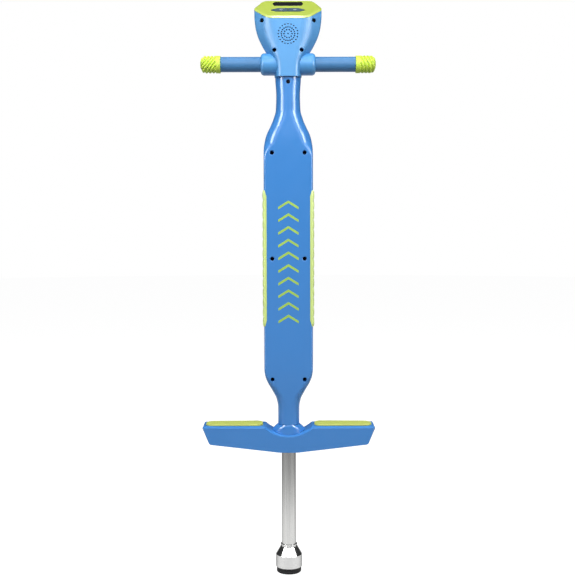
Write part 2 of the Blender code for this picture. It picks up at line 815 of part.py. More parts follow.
DOOR_HALF_WIDTH = 0.0205
DOOR_Z = (0.8640, 0.9225)
DOOR_SCREW_Z = 0.9190


def head_rear_shell():
    """The other half of the head, with the battery opening."""
    shell = head_casing()
    cut(shell, box((-0.1, -0.1, 0.8), (0.1, GAP / 2, 1.0)))
    for x, z, _ in HEAD_SCREWS:
        rear_boss(shell, x, z, 0.0250, within=head_core)
    low, high = DOOR_Z
    cut(shell, box((-DOOR_HALF_WIDTH - GAP, 0.0215, low - GAP),
                   (DOOR_HALF_WIDTH + GAP, 0.030, high + GAP)))
    return finish_piece(shell, "head_rear_shell", GLOSS_BLUE_FINISH)


def head_screws():
    """The four screws that close the head."""
    for number, (x, z, seat) in enumerate(HEAD_SCREWS, start=1):
        tip = 0.0060 if abs(x) > 0.03 else 0.0120
        casing_screw("head_screw_%d" % number, x, z, seat, tip)


# ---------------------------------------------------------------- bezel, display and keys
WINDOW_CORNERS = ((0.0220, 0.0252), (0.0253, 0.0184), (0.0220, 0.0106),
                  (-0.0220, 0.0106), (-0.0253, 0.0184), (-0.0220, 0.0252))
KEY_LOW, KEY_MIDDLE, KEY_HIGH = -0.0104, -0.0052, 0.0008
KEY_REACH = 0.0289
KEY_STEM_X = 0.0130


def bezel_outline(level, margin=0.0):
    """The head's outline seen square to the sloped face, at a level above or below it."""
    slip = level * tan(BEZEL_TILT)
    return [Vector((point.x, point.y / cos(BEZEL_TILT) + slip))
            for point in head_section(HEAD[-1][0], margin)]


def hexagon(corners, radius):
    """A slim hexagon with slightly rounded corners, anticlockwise."""
    return rounded(corners[::-1], [radius] * 6, [2] * 6)


def key_strip(margin):
    """The outline of both keys together, moved outwards by a margin."""
    corners = ((-0.0190 - margin, KEY_LOW - margin), (0.0190 + margin, KEY_LOW - margin),
               (KEY_REACH + 1.6 * margin, KEY_MIDDLE), (0.0172 + margin, KEY_HIGH + margin),
               (-0.0172 - margin, KEY_HIGH + margin), (-KEY_REACH - 1.6 * margin, KEY_MIDDLE))
    return rounded(corners, [0.0010] * 6, [2] * 6)


def top_bezel():
    """The lime frame on the sloped top: a thin lip over a plug that fits inside the walls."""
    rings = []
    for level, chamfer in ((-BEZEL_LIP, 0.0), (-0.0010, 0.0), (0.0, BEZEL_CHAMFER)):
        outline = bezel_outline(level)
        if chamfer:
            outline = inset(outline, [chamfer if point.y < 0.012 else 0.0006 for point in outline])
        rings.append([Vector((point.x, point.y, level)) for point in outline])
    bezel = loft(rings)
    join(bezel, loft([[Vector((point.x, point.y, level))
                       for point in bezel_outline(level, WALL + 0.0008)]
                      for level in (-BEZEL_THICKNESS, -BEZEL_LIP + 0.0003)]))
    window = inset(hexagon(WINDOW_CORNERS, 0.0015), -GAP)
    opening = inset(hexagon(WINDOW_CORNERS, 0.0015), 0.0016)
    cut(bezel, prism(window, -0.0022, 0.01), prism(opening, -0.01, 0.01),
        prism(key_strip(0.0004), -0.01, 0.01))
    bezel.data.transform(BEZEL_FRAME)
    return finish_piece(bezel, "top_bezel", LIME_FINISH)


def display_window():
    """The smoked window, let into the bezel."""
    plate = prism(hexagon(WINDOW_CORNERS, 0.0015), -0.0019, -0.0001, BEZEL_FRAME)
    return finish_piece(plate, "display_window", WINDOW_FINISH)


def display_module():
    """The display under the window."""
    module = box((-0.0215, 0.0090, -0.0078), (0.0215, 0.0200, -0.0036), BEZEL_FRAME)
    return finish_piece(module, "display_module", MODULE_FINISH)


def key(name, side):
    """One key: a cap, a flange under the bezel and a stem over its switch."""
    inner = 0.0004

    def half(margin):
        outline = ((inner, KEY_LOW - margin), (0.0188 + margin, KEY_LOW - margin),
                   (KEY_REACH - 0.0008 + 1.6 * margin, KEY_MIDDLE),
                   (0.0170 + margin, KEY_HIGH + margin), (inner, KEY_HIGH + margin))
        return [Vector((side * x, y)) for x, y in outline]

    cap = prism(half(0.0), -0.0040, 0.0008)
    join(cap, prism(half(0.0010), -0.0046, -BEZEL_THICKNESS - GAP))
    join(cap, rod("Z", -0.0086, -0.0040, 0.0020, (side * KEY_STEM_X, KEY_MIDDLE), 10))
    cap.data.transform(BEZEL_FRAME)
    return finish_piece(cap, name, KEY_FINISH)


def circuit_board():
    """The board under the keys, with two switches, a chip and a motion switch."""
    board = box((-0.0360, -0.0220, -0.0130), (0.0360, 0.0130, -0.0114))
    for x in (-KEY_STEM_X, KEY_STEM_X):
        join(board, box((x - 0.003, KEY_MIDDLE - 0.003, -0.0116),
                        (x + 0.003, KEY_MIDDLE + 0.003, -0.0100)))
    join(board,
         box((-0.0045, -0.0040, -0.0116), (0.0045, 0.0050, -0.0098)),
         box((0.0220, -0.0180, -0.0116), (0.0320, -0.0140, -0.0076)))
    board.data.transform(BEZEL_FRAME)
    return finish_piece(board, "circuit_board", BOARD_FINISH)


# ---------------------------------------------------------------- sound and power
def speaker():
    """The loudspeaker behind the sound holes: rim, basket and magnet."""
    front = -HEAD_HALF_DEPTH + WALL + GAP
    lie = Matrix.Translation((0, front, 0.8939)) @ Matrix.Rotation(-pi / 2, 4, "X")
    profile = [(0.0, 0.0120), (0.0090, 0.0120), (0.0090, 0.0065), (0.0158, 0.0016),
               (0.0168, 0.0016), (0.0168, 0.0003), (0.0162, 0.0003), (0.0060, 0.0034), (0.0, 0.0024)]
    return finish_piece(turned(profile, 24, lie), "speaker", MODULE_FINISH)


def battery_tray():
    """The box behind the door, with a boss for the door's screw."""
    tray = box((-0.0174, 0.0075, 0.8660), (0.0174, 0.0214, 0.9145))
    cut(tray, box((-0.0162, 0.0087, 0.8672), (0.0162, 0.0300, 0.9133)))
    join(tray, rod("Y", 0.0110, 0.0214, 0.0032, (0, DOOR_SCREW_Z), 12),
         box((-0.0020, 0.0110, 0.9140), (0.0020, 0.0214, 0.9170)))
    cut(tray, rod("Y", 0.0130, 0.0300, SCREW_CLEAR_R - 0.0003, (0, DOOR_SCREW_Z), 8))
    return finish_piece(tray, "battery_tray", MODULE_FINISH)


def battery_cell(name, x):
    """One AAA cell, 10.5 mm by 44.5 mm, with its positive button."""
    radius, low, high = 0.00520, 0.8675, 0.9120
    place = Matrix.Translation((x, 0.0146, 0))
    profile = [(0.0, high), (0.0019, high), (0.0019, high - 0.0010), (radius, high - 0.0012),
               (radius, low), (0.0, low)]
    return finish_piece(turned(profile, 16, place), name, CELL_FINISH)


def battery_door():
    """The flush cover on the rear of the head."""
    low, high = DOOR_Z
    back = HEAD_HALF_DEPTH
    door = box((-DOOR_HALF_WIDTH, back - WALL, low), (DOOR_HALF_WIDTH, back, high))
    for k in range(4):
        z = low + 0.0070 + 0.0030 * k
        cut(door, box((-0.0090, back - 0.0006, z), (0.0090, back + 0.001, z + 0.0012)))
    cut(door, rod("Y", back - 0.0012, 0.03, 0.0032, (0, DOOR_SCREW_Z), 12),
        rod("Y", 0.02, 0.03, SCREW_CLEAR_R, (0, DOOR_SCREW_Z), 8))
    return finish_piece(door, "battery_door", GLOSS_BLUE_FINISH)


def battery_door_screw():
    """The small screw that locks the door."""
    back = HEAD_HALF_DEPTH
    lie = Matrix.Translation((0, back - 0.0009, DOOR_SCREW_Z)) @ Matrix.Rotation(pi / 2, 4, "X")
    profile = [(0.0, 0.0080), (0.0011, 0.0080), (0.0011, 0.0), (0.0028, 0.0), (0.0026, -0.0007),
               (0.0, -0.0008)]
    return finish_piece(turned(profile, 10, lie), "battery_door_screw", SCREW_FINISH)


# ---------------------------------------------------------------- footrest
def dip_outline(margin):
    """The dip in the footrest's top, from right to left: a hollow arc between two fillets."""
    arc_z = DIP_BOTTOM_Z + DIP_R
    hollow_r, fillet_r, top = DIP_R + margin, DIP_FILLET - margin, REST_TOP_Z - margin
    drop = arc_z - top + fillet_r
    fillet_x = sqrt((hollow_r + fillet_r)**2 - drop**2)
    lean = acos(drop / (hollow_r + fillet_r))
    right = [Vector((fillet_x - fillet_r * sin(lean * k / 3),
                     top - fillet_r * (1 - cos(lean * k / 3)))) for k in range(4)]
    turns = 12
    hollow = [Vector((hollow_r * sin(lean * (1 - 2 * k / turns)),
                      arc_z - hollow_r * cos(lean * (1 - 2 * k / turns)))) for k in range(1, turns)]
    return right + hollow + [Vector((-point.x, point.y)) for point in right[::-1]]


def rest_outline(right, radii, steps, margin):
    """The footrest seen from the front, anticlockwise: the right corners, the dip, the left."""
    corners = right + tuple((-x, z) for x, z in right[::-1])
    outline = rounded(corners, radii + radii[::-1], steps + steps[::-1])
    top_right = sum(steps) + len(steps)
    return outline[:top_right] + dip_outline(margin) + outline[top_right:]


def rest_block(outline, half_depth, chamfer):
    """The footrest's outer or inner shape: chamfered along the top, square along the bottom."""
    low, high = 0.2250, 0.2450

    def reach(point):
        share = min(max((point.y - low) / (high - low), 0.0), 1.0)
        near_end = min(max((abs(point.x) - 0.1300) / 0.0100, 0.0), 1.0)
        in_dip = min(max((0.0470 - abs(point.x)) / 0.0060, 0.0), 1.0)
        widest = chamfer * (1 - 0.58 * near_end - 0.45 * in_dip)
        return REST_DRAFT + (widest - REST_DRAFT) * share * share * (3 - 2 * share)

    shrunk = inset(outline, [reach(point) for point in outline])
    rings = []
    for y, loop in ((-half_depth, shrunk), (-half_depth + chamfer, outline),
                    (half_depth - chamfer, outline), (half_depth, shrunk)):
        rings.append([Vector((point.x, y, point.y)) for point in loop])
    return loft(rings)


def footrest_shell():
    """The moulded footrest, open below."""
    right = ((0.0150, REST_LOW_Z), (REST_FOOT_X, REST_FOOT_Z), (REST_HALF_LENGTH, REST_TOP_Z))
    outer = rest_outline(right, [0.060, 0.0060, 0.0035], [2, 3, 3], 0.0)
    right = ((REST_FOOT_X - 0.0060, 0.1900), (REST_FOOT_X - 0.0060, REST_FOOT_Z + 0.0030),
             (REST_HALF_LENGTH - 0.0036, REST_TOP_Z - REST_WALL))
    inner = rest_outline(right, [0.0010, 0.0040, 0.0050], [1, 2, 3], REST_WALL)
    shell = rest_block(outer, REST_HALF_DEPTH, REST_CHAMFER)
    cavity = rest_block(inner, REST_HALF_DEPTH - 0.0035, 0.0037)
    cut(shell, cavity, rod("Z", 0.19, 0.27, FRAME_TUBE_R + GAP, (0, 0), TUBE_SIDES))
    for x in FOOTREST_SCREW_X:
        join(shell, rod("Z", 0.2290, REST_TOP_Z - 0.001, 0.0045, (x, 0), 12))
        cut(shell, rod("Z", 0.2200, 0.2440, SCREW_CLEAR_R, (x, 0), 8))
    return finish_piece(shell, "footrest_shell", GLOSS_BLUE_FINISH)


def base_height(x):
    """Height of the footrest's lower edge at a distance from the middle."""
    slope = (REST_FOOT_Z - REST_LOW_Z) / (REST_FOOT_X - 0.0150)
    return REST_LOW_Z + max(abs(x) - 0.0150, 0.0) * slope


def footrest_base():
    """The cover that closes the footrest from below, following its sloped edge."""
    depth = REST_HALF_DEPTH - 0.0040
    end = REST_FOOT_X - 0.0085
    xs = (-end, -0.0150, 0.0150, end)
    lower = [Vector((x, base_height(x) + 0.0010)) for x in xs]
    upper = [Vector((x, base_height(x) + 0.0032)) for x in reversed(xs)]
    rings = [[Vector((p.x, y, p.y)) for p in lower + upper] for y in (-depth, depth)]
    base = loft(rings)
    cut(base, rod("Z", 0.19, 0.24, FRAME_TUBE_R + GAP, (0, 0), TUBE_SIDES))
    for x in FOOTREST_SCREW_X:
        cut(base, rod("Z", 0.19, 0.24, SCREW_CLEAR_R, (x, 0), 8))
    return finish_piece(base, "footrest_base", GLOSS_BLUE_FINISH)


def footrest_screw(name, x):
    """A screw up through the base into the footrest's boss."""
    seat = base_height(x) + 0.0010 - GAP - 0.0005
    profile = [(0.0, 0.0150), (SCREW_R, 0.0135), (SCREW_R, 0.0), (SCREW_HEAD_R, 0.0),
               (SCREW_HEAD_R * 0.7, -0.0018), (0.0, -0.0018)]
    place = Matrix.Translation((x, 0, seat))
    return finish_piece(turned(profile, 8, place), name, SCREW_FINISH)


def footrest_bar(name, side):
    """A flat steel bar beside the frame tube that carries the footrest."""
    near = FRAME_TUBE_R + GAP
    ys = sorted((side * near, side * (near + 0.0030)))
    bar = box((-0.1180, ys[0], 0.2195), (0.1180, ys[1], 0.2335))
    cutter_low = 0.2240
    for end in (-1, 1):
        xs = sorted((end * 0.0700, end * 0.1250))
        cut(bar, box((xs[0], -0.03, 0.2100), (xs[1], 0.03, cutter_low)))
    return finish_piece(bar, name, FRAME_FINISH)


def foot_pad(name, side):
    """The lime tread on one half of the footrest."""
    low, high = FOOT_PAD_X
    depth = FOOT_PAD_HALF_DEPTH
    corners = ((low, -depth), (high, -depth), (high, depth - 0.003), (low, depth))
    outline = rounded(corners, [0.011, 0.013, 0.014, 0.012], [4, 4, 4, 4])
    bottom = REST_TOP_Z + GAP
    top = REST_TOP_Z + FOOT_PAD_THICKNESS
    rings = []
    for height, margin in ((bottom, 0.0), (top - 0.0010, 0.0), (top, 0.0012)):
        loop = inset(outline, margin) if margin else outline
        rings.append([Vector((side * p.x, p.y, height)) for p in loop])
    return finish_piece(loft(rings), name, LIME_RUBBER_FINISH)


def column_collar():
    """The flared collar between the column and the footrest's dip."""
    levels = ((0.2535, 0.0182, 0.0190), (0.2515, 0.0202, 0.0198), (0.2490, 0.0232, 0.0204),
              (0.2455, 0.0264, 0.0206), (0.2340, 0.0300, 0.0206))
    rings = []
    for height, half_width, half_depth in levels:
        rings.append([Vector((half_width * cos(a), half_depth * sin(a), height))
                      for a in (2 * pi * k / 24 for k in range(24))])
    collar = loft(rings)
    keep = rod("Y", -0.05, 0.05, DIP_R - GAP, (0, DIP_BOTTOM_Z + DIP_R), 80)
    combine(collar, [keep], "INTERSECT")
    cut(collar, rod("Z", 0.22, 0.27, FRAME_TUBE_R + GAP, (0, 0), TUBE_SIDES))
    return finish_piece(collar, "column_collar", GLOSS_BLUE_FINISH)


# ---------------------------------------------------------------- assembly
def build():
    """Make every piece."""
    frame_tube()
    handlebar_tube()
    handlebar_bolt()
    handlebar_nut()
    for suffix, side in (("_left", -1), ("_right", 1)):
        grip_sleeve("grip_sleeve" + suffix, side)
        grip_end("grip_end" + suffix, side)
        side_pad("side_pad" + suffix, side)
        foot_pad("foot_pad" + suffix, side)
        key("key" + suffix, side)
    leg_tube()
    plunger_bush()
    bump_stop()
    guide_bush()
    spring()
    spring_seat()
    spring_pin()
    foot_collar()
    rubber_foot()
    body_front_shell()
    body_rear_shell()
    column_screws()
    head_front_shell()
    head_rear_shell()
    head_screws()
    top_bezel()
    display_window()
    display_module()
    circuit_board()
    speaker()
    battery_tray()
    for number, x in enumerate((-0.0107, 0.0, 0.0107), start=1):
        battery_cell("battery_cell_%d" % number, x)
    battery_door()
    battery_door_screw()
    footrest_shell()
    footrest_base()
    footrest_bar("footrest_bar_front", -1)
    footrest_bar("footrest_bar_rear", 1)
    for number, x in enumerate(FOOTREST_SCREW_X, start=1):
        footrest_screw("footrest_screw_%d" % number, x)
    column_collar()


build()
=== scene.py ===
from math import acos, asin, atan2, cos, pi, radians, sin, sqrt, tan

import bmesh
import bpy
from mathutils import Matrix, Vector


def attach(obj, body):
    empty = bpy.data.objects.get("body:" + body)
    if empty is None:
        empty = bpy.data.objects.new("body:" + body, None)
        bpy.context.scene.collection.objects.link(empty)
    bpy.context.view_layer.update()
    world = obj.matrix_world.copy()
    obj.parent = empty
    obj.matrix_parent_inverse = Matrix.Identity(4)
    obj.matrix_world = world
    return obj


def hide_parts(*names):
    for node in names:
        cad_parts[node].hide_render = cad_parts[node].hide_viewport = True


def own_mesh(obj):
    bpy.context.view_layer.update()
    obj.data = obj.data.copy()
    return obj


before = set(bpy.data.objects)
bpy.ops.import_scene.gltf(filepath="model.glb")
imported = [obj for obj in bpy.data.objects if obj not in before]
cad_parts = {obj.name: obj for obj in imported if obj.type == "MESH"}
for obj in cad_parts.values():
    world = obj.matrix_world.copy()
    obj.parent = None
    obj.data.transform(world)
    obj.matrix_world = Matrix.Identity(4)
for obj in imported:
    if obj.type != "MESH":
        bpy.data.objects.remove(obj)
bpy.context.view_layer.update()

# ---- sizes, as in the CAD, in metres
GAP, WALL = 0.0003, 0.0022
FAR = 0.1
BAR_Z, FRAME_TUBE_R = 0.848, 0.0152
LEG_R, LEG_BORE_R, LEG_Z = 0.0118, 0.0103, (0.02, 0.316)
SPRING_R, SPRING_WIRE_R, SPRING_TURNS, SPRING_Z = 0.0112, 0.0017, 15, (0.3203, 0.62)
SLEEVE_R, SLEEVE_X = 0.0123, (0.04, 0.1105)
GRIP_R, GRIP_X, BAR_TUBE_R, BAR_TUBE_HALF = 0.0142, (0.1108, 0.1438), 0.0095, 0.1375
HUB_R, HUB_X = 0.018, 0.045

COLUMN_Z, BODY_Z = (0.2538, 0.8262), (0.347, 0.69)
# height, half width, half depth, corner radius
COLUMN = (
    (0.8262, 0.0210, 0.0205, 0.0195),
    (0.7970, 0.0194, 0.0205, 0.0188),
    (0.7740, 0.0202, 0.0206, 0.0194),
    (0.7580, 0.0245, 0.0209, 0.0200),
    (0.7460, 0.0296, 0.0212, 0.0203),
    (0.7330, 0.0357, 0.0216, 0.0205),
    (0.7220, 0.0386, 0.0219, 0.0195),
    (0.7110, 0.0400, 0.0220, 0.0120),
    (0.7010, 0.0403, 0.0220, 0.0055),
    (0.6900, 0.0403, 0.0220, 0.0040),
    (0.3470, 0.0403, 0.0220, 0.0040),
    (0.3350, 0.0388, 0.0218, 0.0060),
    (0.3250, 0.0354, 0.0215, 0.0090),
    (0.3100, 0.0273, 0.0210, 0.0130),
    (0.2950, 0.0202, 0.0204, 0.0150),
    (0.2820, 0.0180, 0.0198, 0.0150),
    (0.2538, 0.0178, 0.0190, 0.0150),
)
BODY_HALF_WIDTH, BODY_HALF_DEPTH, BODY_EDGE_R = 0.0403, 0.022, 0.004
PAD_Z, PAD_THICKNESS, PAD_REACH = (0.418, 0.642), 0.001, 0.0046
PAD_SCALLOPS, PAD_SCALLOP_DEPTH = 14, 0.0012

# height, half width at the sides, of the front, of the rear, radius of the front edges
HEAD = (
    (0.8266, 0.0222, 0.0168, 0.0150, 0.0089),
    (0.8380, 0.0224, 0.0166, 0.0145, 0.0090),
    (0.8480, 0.0248, 0.0170, 0.0160, 0.0100),
    (0.8580, 0.0300, 0.0192, 0.0195, 0.0125),
    (0.8680, 0.0368, 0.0228, 0.0250, 0.0200),
    (0.8790, 0.0430, 0.0260, 0.0300, 0.0280),
    (0.8920, 0.0489, 0.0295, 0.0345, 0.0340),
    (0.9080, 0.0531, 0.0318, 0.0372, 0.0310),
    (0.9260, 0.0546, 0.0330, 0.0405, 0.0220),
    (0.9700, 0.0548, 0.0330, 0.0405, 0.0220),
)
HEAD_HALF_DEPTH, HEAD_FLOOR = 0.024, 0.0024
HEAD_STRAIGHT_Z, HEAD_TOP_Z = 0.926, 0.97
BEZEL_TILT, BEZEL_CENTRE_Z = radians(36.3), 0.9382
BEZEL_THICKNESS, BEZEL_LIP, BEZEL_CHAMFER = 0.003, 0.0014, 0.0045
BEZEL_FRAME = Matrix.Translation((0, 0, BEZEL_CENTRE_Z)) @ Matrix.Rotation(BEZEL_TILT, 4, "X")
WINDOW_CORNERS = ((-0.022, 0.0252), (-0.0253, 0.0184), (-0.022, 0.0106),
                  (0.022, 0.0106), (0.0253, 0.0184), (0.022, 0.0252))
KEY_LOW, KEY_MIDDLE, KEY_HIGH, KEY_REACH, KEY_STEM_X = -0.0104, -0.0052, 0.0008, 0.0289, 0.013
DOOR_HALF_WIDTH, DOOR_Z, DOOR_SCREW_Z = 0.0205, (0.864, 0.9225), 0.919
GRILLE_Z = 0.8939

# screws: name, x, z, seat y, tip y
HEAD_SCREWS = (("head_screw_1", -0.0423, 0.917, -0.007, 0.006),
               ("head_screw_2", 0.0423, 0.917, -0.007, 0.006),
               ("head_screw_3", -0.0221, 0.8689, -0.01, 0.012),
               ("head_screw_4", 0.0221, 0.8689, -0.01, 0.012))
COLUMN_SCREWS = tuple((row + end, side * 0.0266, z, -0.01, 0.014)
                      for row, z in (("shoulder_screw", 0.7031), ("middle_screw", 0.5299),
                                     ("lower_screw", 0.3301))
                      for end, side in (("_left", -1), ("_right", 1)))
NECK_SCREW = ("neck_screw", 0, 0.8179, -0.0172, -0.008)
RECESS_R, SCREW_HEAD_R, SCREW_R, SCREW_CLEAR_R = 0.0034, 0.0029, 0.0014, 0.0018
BOSS_R, REAR_BOSS_R = 0.005, 0.004

REST_HALF_LENGTH, REST_FOOT_X, REST_FOOT_Z, REST_LOW_Z = 0.1452, 0.132, 0.2213, 0.2077
REST_WALL, REST_DRAFT, REST_TOP_Z, REST_FLAT_X = 0.0025, 0.0008, 0.252, 0.015
REST_HALF_DEPTH, REST_CHAMFER = 0.026, 0.0048
DIP_R, DIP_BOTTOM_Z, DIP_FILLET = 0.058, 0.237, 0.006
TREAD_X, TREAD_HALF_DEPTH, TREAD_THICKNESS = (0.043, 0.1385), 0.0185, 0.0026
REST_SCREW_X = (-0.115, -0.065, 0.065, 0.115)
FOOT_RIM_R, RUBBER_R = 0.0219, 0.0206


# ---- finishes
def link(tree, source, output, target, socket):
    """Join two sockets."""
    tree.links.new(source.outputs[output], target.inputs[socket])


def dial(node, values):
    """Set a node's sockets."""
    for socket, value in values.items():
        node.inputs[socket].default_value = value
    return node


def noise(tree, scale, detail, roughness, stretch=(1, 1, 1)):
    """Noise over the piece itself, in metres, stretched along the axes."""
    spot = tree.nodes.new("ShaderNodeTexCoord")
    place = dial(tree.nodes.new("ShaderNodeMapping"), {"Scale": [scale * part for part in stretch]})
    grain = dial(tree.nodes.new("ShaderNodeTexNoise"),
                 {"Scale": 1, "Detail": detail, "Roughness": roughness})
    link(tree, spot, "Object", place, "Vector")
    link(tree, place, "Vector", grain, "Vector")
    return grain


def spread(tree, source, output, low, high, start=0.3, end=0.7):
    """A value's range, or a noise's middle range, spread between low and high."""
    ramp = dial(tree.nodes.new("ShaderNodeMapRange"),
                {"From Min": start, "From Max": end, "To Min": low, "To Max": high})
    link(tree, source, output, ramp, "Value")
    return ramp


def bump(tree, source, distance):
    """A bump that a noise drives."""
    made = dial(tree.nodes.new("ShaderNodeBump"), {"Strength": 1, "Distance": distance})
    link(tree, source, "Fac", made, "Height")
    return made


def finish(name, colour, roughness, mottle, patch=(60, 0.04), grain=(900, 0.00002),
           metallic=0, wave=None, streak=(1, 1, 1), coat=0, specular=0.5,
           subsurface=0, sheen=0, anisotropy=0, fade=None, edge=1):
    """A moulded, turned or printed finish whose tone, gloss and surface vary a little.

    mottle, patch, grain and wave are scales and amounts for the tone, the gloss, a fine bump
    and a wide one; streak draws the noise out along an axis; fade paints shade into the tone,
    darkening it between two heights, down to a share; edge tints the reflection at grazing angles.
    """
    made = bpy.data.materials.new(name)
    made.use_nodes = True
    tree = made.node_tree
    shader = dial(tree.nodes["Principled BSDF"], {
        "Metallic": metallic, "Specular IOR Level": specular, "Coat Weight": coat,
        "Coat Roughness": 0.06, "Subsurface Weight": subsurface, "Subsurface Scale": 0.002,
        "Sheen Weight": sheen, "Anisotropic": anisotropy, "Specular Tint": (edge, edge, edge, 1)})

    share = spread(tree, noise(tree, mottle[0], 4, 0.55, streak), "Fac", 0, 1)
    mix = tree.nodes.new("ShaderNodeMix")
    mix.data_type = "RGBA"
    dial(mix, {"A": [c * (1 - mottle[1]) for c in colour] + [1],
               "B": [min(c * (1 + mottle[1]), 1) for c in colour] + [1]})
    link(tree, share, "Result", mix, "Factor")
    tone, output = mix, "Result"
    # fade is painted shade: the tone darkens from one height to another
    if fade:
        start, end, least = fade
        parts = tree.nodes.new("ShaderNodeSeparateXYZ")
        link(tree, tree.nodes.new("ShaderNodeTexCoord"), "Object", parts, "Vector")
        ramp = spread(tree, parts, "Z", 1, least, start, end)
        ramp.interpolation_type = "SMOOTHSTEP"
        darker = tree.nodes.new("ShaderNodeVectorMath")
        darker.operation = "SCALE"
        link(tree, tone, output, darker, 0)
        link(tree, ramp, "Result", darker, "Scale")
        tone, output = darker, "Vector"
    link(tree, tone, output, shader, "Base Color")

    gloss = spread(tree, noise(tree, patch[0], 3, 0.6, streak), "Fac",
                   roughness - patch[1], roughness + patch[1])
    link(tree, gloss, "Result", shader, "Roughness")
    fine = bump(tree, noise(tree, grain[0], 2, 0.5, streak), grain[1])
    if wave:
        wide = bump(tree, noise(tree, wave[0], 1, 0.4), wave[1])
        link(tree, wide, "Normal", fine, "Normal")
    link(tree, fine, "Normal", shader, "Normal")
    return made


# colours are linear
GLOSS_BLUE = finish(
    "blue_casing", (0.054, 0.236, 0.61), 0.21, (9, 0.025), (40, 0.04), (2200, 0.000003),
    wave=(60, 0.00002), specular=0.36)
# a lighter, greener copy of the casing blue: painted light, for the brighter light on the head near
# the top
HEAD_GLOSS = finish(
    "blue_head", (0.066, 0.28, 0.6), 0.4, (9, 0.025), (40, 0.04), (2200, 0.000003),
    wave=(60, 0.00002), specular=0.4)
SLEEVE = finish(
    "sleeve_blue", (0.036, 0.16, 0.355), 0.46, (30, 0.04), (120, 0.06), (1400, 0.00003),
    specular=0.35)
LIME_GLOSS = finish(
    "lime_trim", (0.335, 0.42, 0.055), 0.24, (14, 0.03), grain=(1500, 0.00001),
    wave=(90, 0.00003), coat=0.15)
PAD_LIME = finish(
    "lime_pad", (0.57, 0.72, 0.2), 0.42, (14, 0.03), grain=(1500, 0.00001), wave=(90, 0.00003),
    coat=0.1)
LIME_RUBBER = finish(
    "lime_grip", (0.5, 0.68, 0.035), 0.55, (25, 0.05), (150, 0.06), (1600, 0.00003), sheen=0.05)
TREAD = finish(
    "lime_tread", (0.435, 0.5, 0.09), 0.5, (25, 0.05), (150, 0.06), (700, 0.0001), sheen=0.05)
PRINT = finish(
    "printed_green", (0.35, 0.57, 0.07), 0.38, (40, 0.05), grain=(2500, 0.00001))
# the leg's tone darkens towards its top, under the footrest: painted shade from the fade
LEG_STEEL = finish(
    "leg_steel", (0.56, 0.56, 0.55), 0.28, (1, 0.1), (1, 0.07), (1, 0.00002), metallic=1,
    streak=(700, 700, 9), anisotropy=0.3, fade=(0.05, 0.21, 0.38), edge=0.2)
POLISHED = finish(
    "polished_steel", (0.58, 0.58, 0.575), 0.14, (30, 0.03), (120, 0.03), (1200, 0.000006),
    metallic=1, edge=0.2)
TURNED = finish(
    "turned_steel", (0.56, 0.56, 0.555), 0.3, (1, 0.05), (1, 0.05), (1, 0.00002), metallic=1,
    streak=(14, 14, 2600), edge=0.2)
BLACK_RUBBER = finish(
    "black_rubber", (0.009, 0.009, 0.01), 0.66, (60, 0.25), (200, 0.08), (1800, 0.00006),
    specular=0.25)
ZINC = finish("zinc_steel", (0.46, 0.47, 0.46), 0.42, (90, 0.14), (150, 0.08), metallic=1)
SPRING_STEEL = finish(
    "spring_steel", (0.22, 0.22, 0.24), 0.34, (160, 0.15), (300, 0.08), (1500, 0.00002),
    metallic=1)
NYLON = finish("nylon", (0.74, 0.72, 0.66), 0.45, (40, 0.04), subsurface=0.2)
SCREW_BLACK = finish(
    "black_screw", (0.001, 0.002, 0.006), 0.55, (300, 0.25), (500, 0.1), (2500, 0.00002),
    specular=0.1)
WINDOW = finish(
    "smoked_window", (0.01, 0.01, 0.012), 0.08, (40, 0.2), (80, 0.02), (2500, 0.000002),
    specular=0.35)
KEY = finish(
    "slate_key", (0.018, 0.048, 0.08), 0.46, (60, 0.06), grain=(2000, 0.00002), specular=0.25)
MARK = finish("pale_mark", (0.36, 0.41, 0.45), 0.45, (90, 0.05), grain=(2500, 0.00001))
BOARD = finish(
    "circuit_board", (0.02, 0.18, 0.07), 0.35, (400, 0.25), (600, 0.08), coat=0.3)
DARK_PLASTIC = finish(
    "dark_plastic", (0.022, 0.022, 0.024), 0.5, (80, 0.15), grain=(1500, 0.00003))
CELL = finish("cell_sleeve", (0.07, 0.08, 0.11), 0.3, (50, 0.1), metallic=0.5, coat=0.3)


# ---- shape kit
def add_piece(name, data):
    """Link a mesh, a light or a camera as an object."""
    data.name = name
    made = bpy.data.objects.new(name, data)
    bpy.context.scene.collection.objects.link(made)
    return made


def mesh_from(work, facing_out=True):
    """Turn a bmesh into a mesh, as a rule with its faces made to point out."""
    if facing_out:
        bmesh.ops.recalc_face_normals(work, faces=work.faces)
    mesh = bpy.data.meshes.new("mesh")
    work.to_mesh(mesh)
    work.free()
    return mesh


def applied(piece):
    """Fix the modifiers into the piece's mesh."""
    graph = bpy.context.evaluated_depsgraph_get()
    mesh = bpy.data.meshes.new_from_object(piece.evaluated_get(graph))
    piece.modifiers.clear()
    piece.data = mesh
    return piece


def shape(piece, operation, *meshes):
    """Cut, join or intersect meshes with the piece."""
    for mesh in meshes:
        other = add_piece("other", mesh)
        change = piece.modifiers.new("shape", "BOOLEAN")
        change.operation = operation
        change.solver = "EXACT"
        change.object = other
        applied(piece)
        bpy.data.objects.remove(other, do_unlink=True)
    return piece


def cut(piece, *meshes):
    """Remove solids."""
    return shape(piece, "DIFFERENCE", *meshes)


def join(piece, *meshes):
    """Add solids."""
    return shape(piece, "UNION", *meshes)


def taken(piece):
    """The mesh of a piece that isn't needed any more."""
    mesh = piece.data.copy()
    bpy.data.objects.remove(piece, do_unlink=True)
    return mesh


def together(meshes):
    """Several meshes that don't touch, as one."""
    work = bmesh.new()
    for mesh in meshes:
        work.from_mesh(mesh)
    return mesh_from(work)


def soften(piece, width, segments=2, angle=38):
    """Round the sharp edges."""
    change = piece.modifiers.new("edges", "BEVEL")
    change.width = width
    change.segments = segments
    change.limit_method = "ANGLE"
    change.angle_limit = radians(angle)
    return applied(piece)


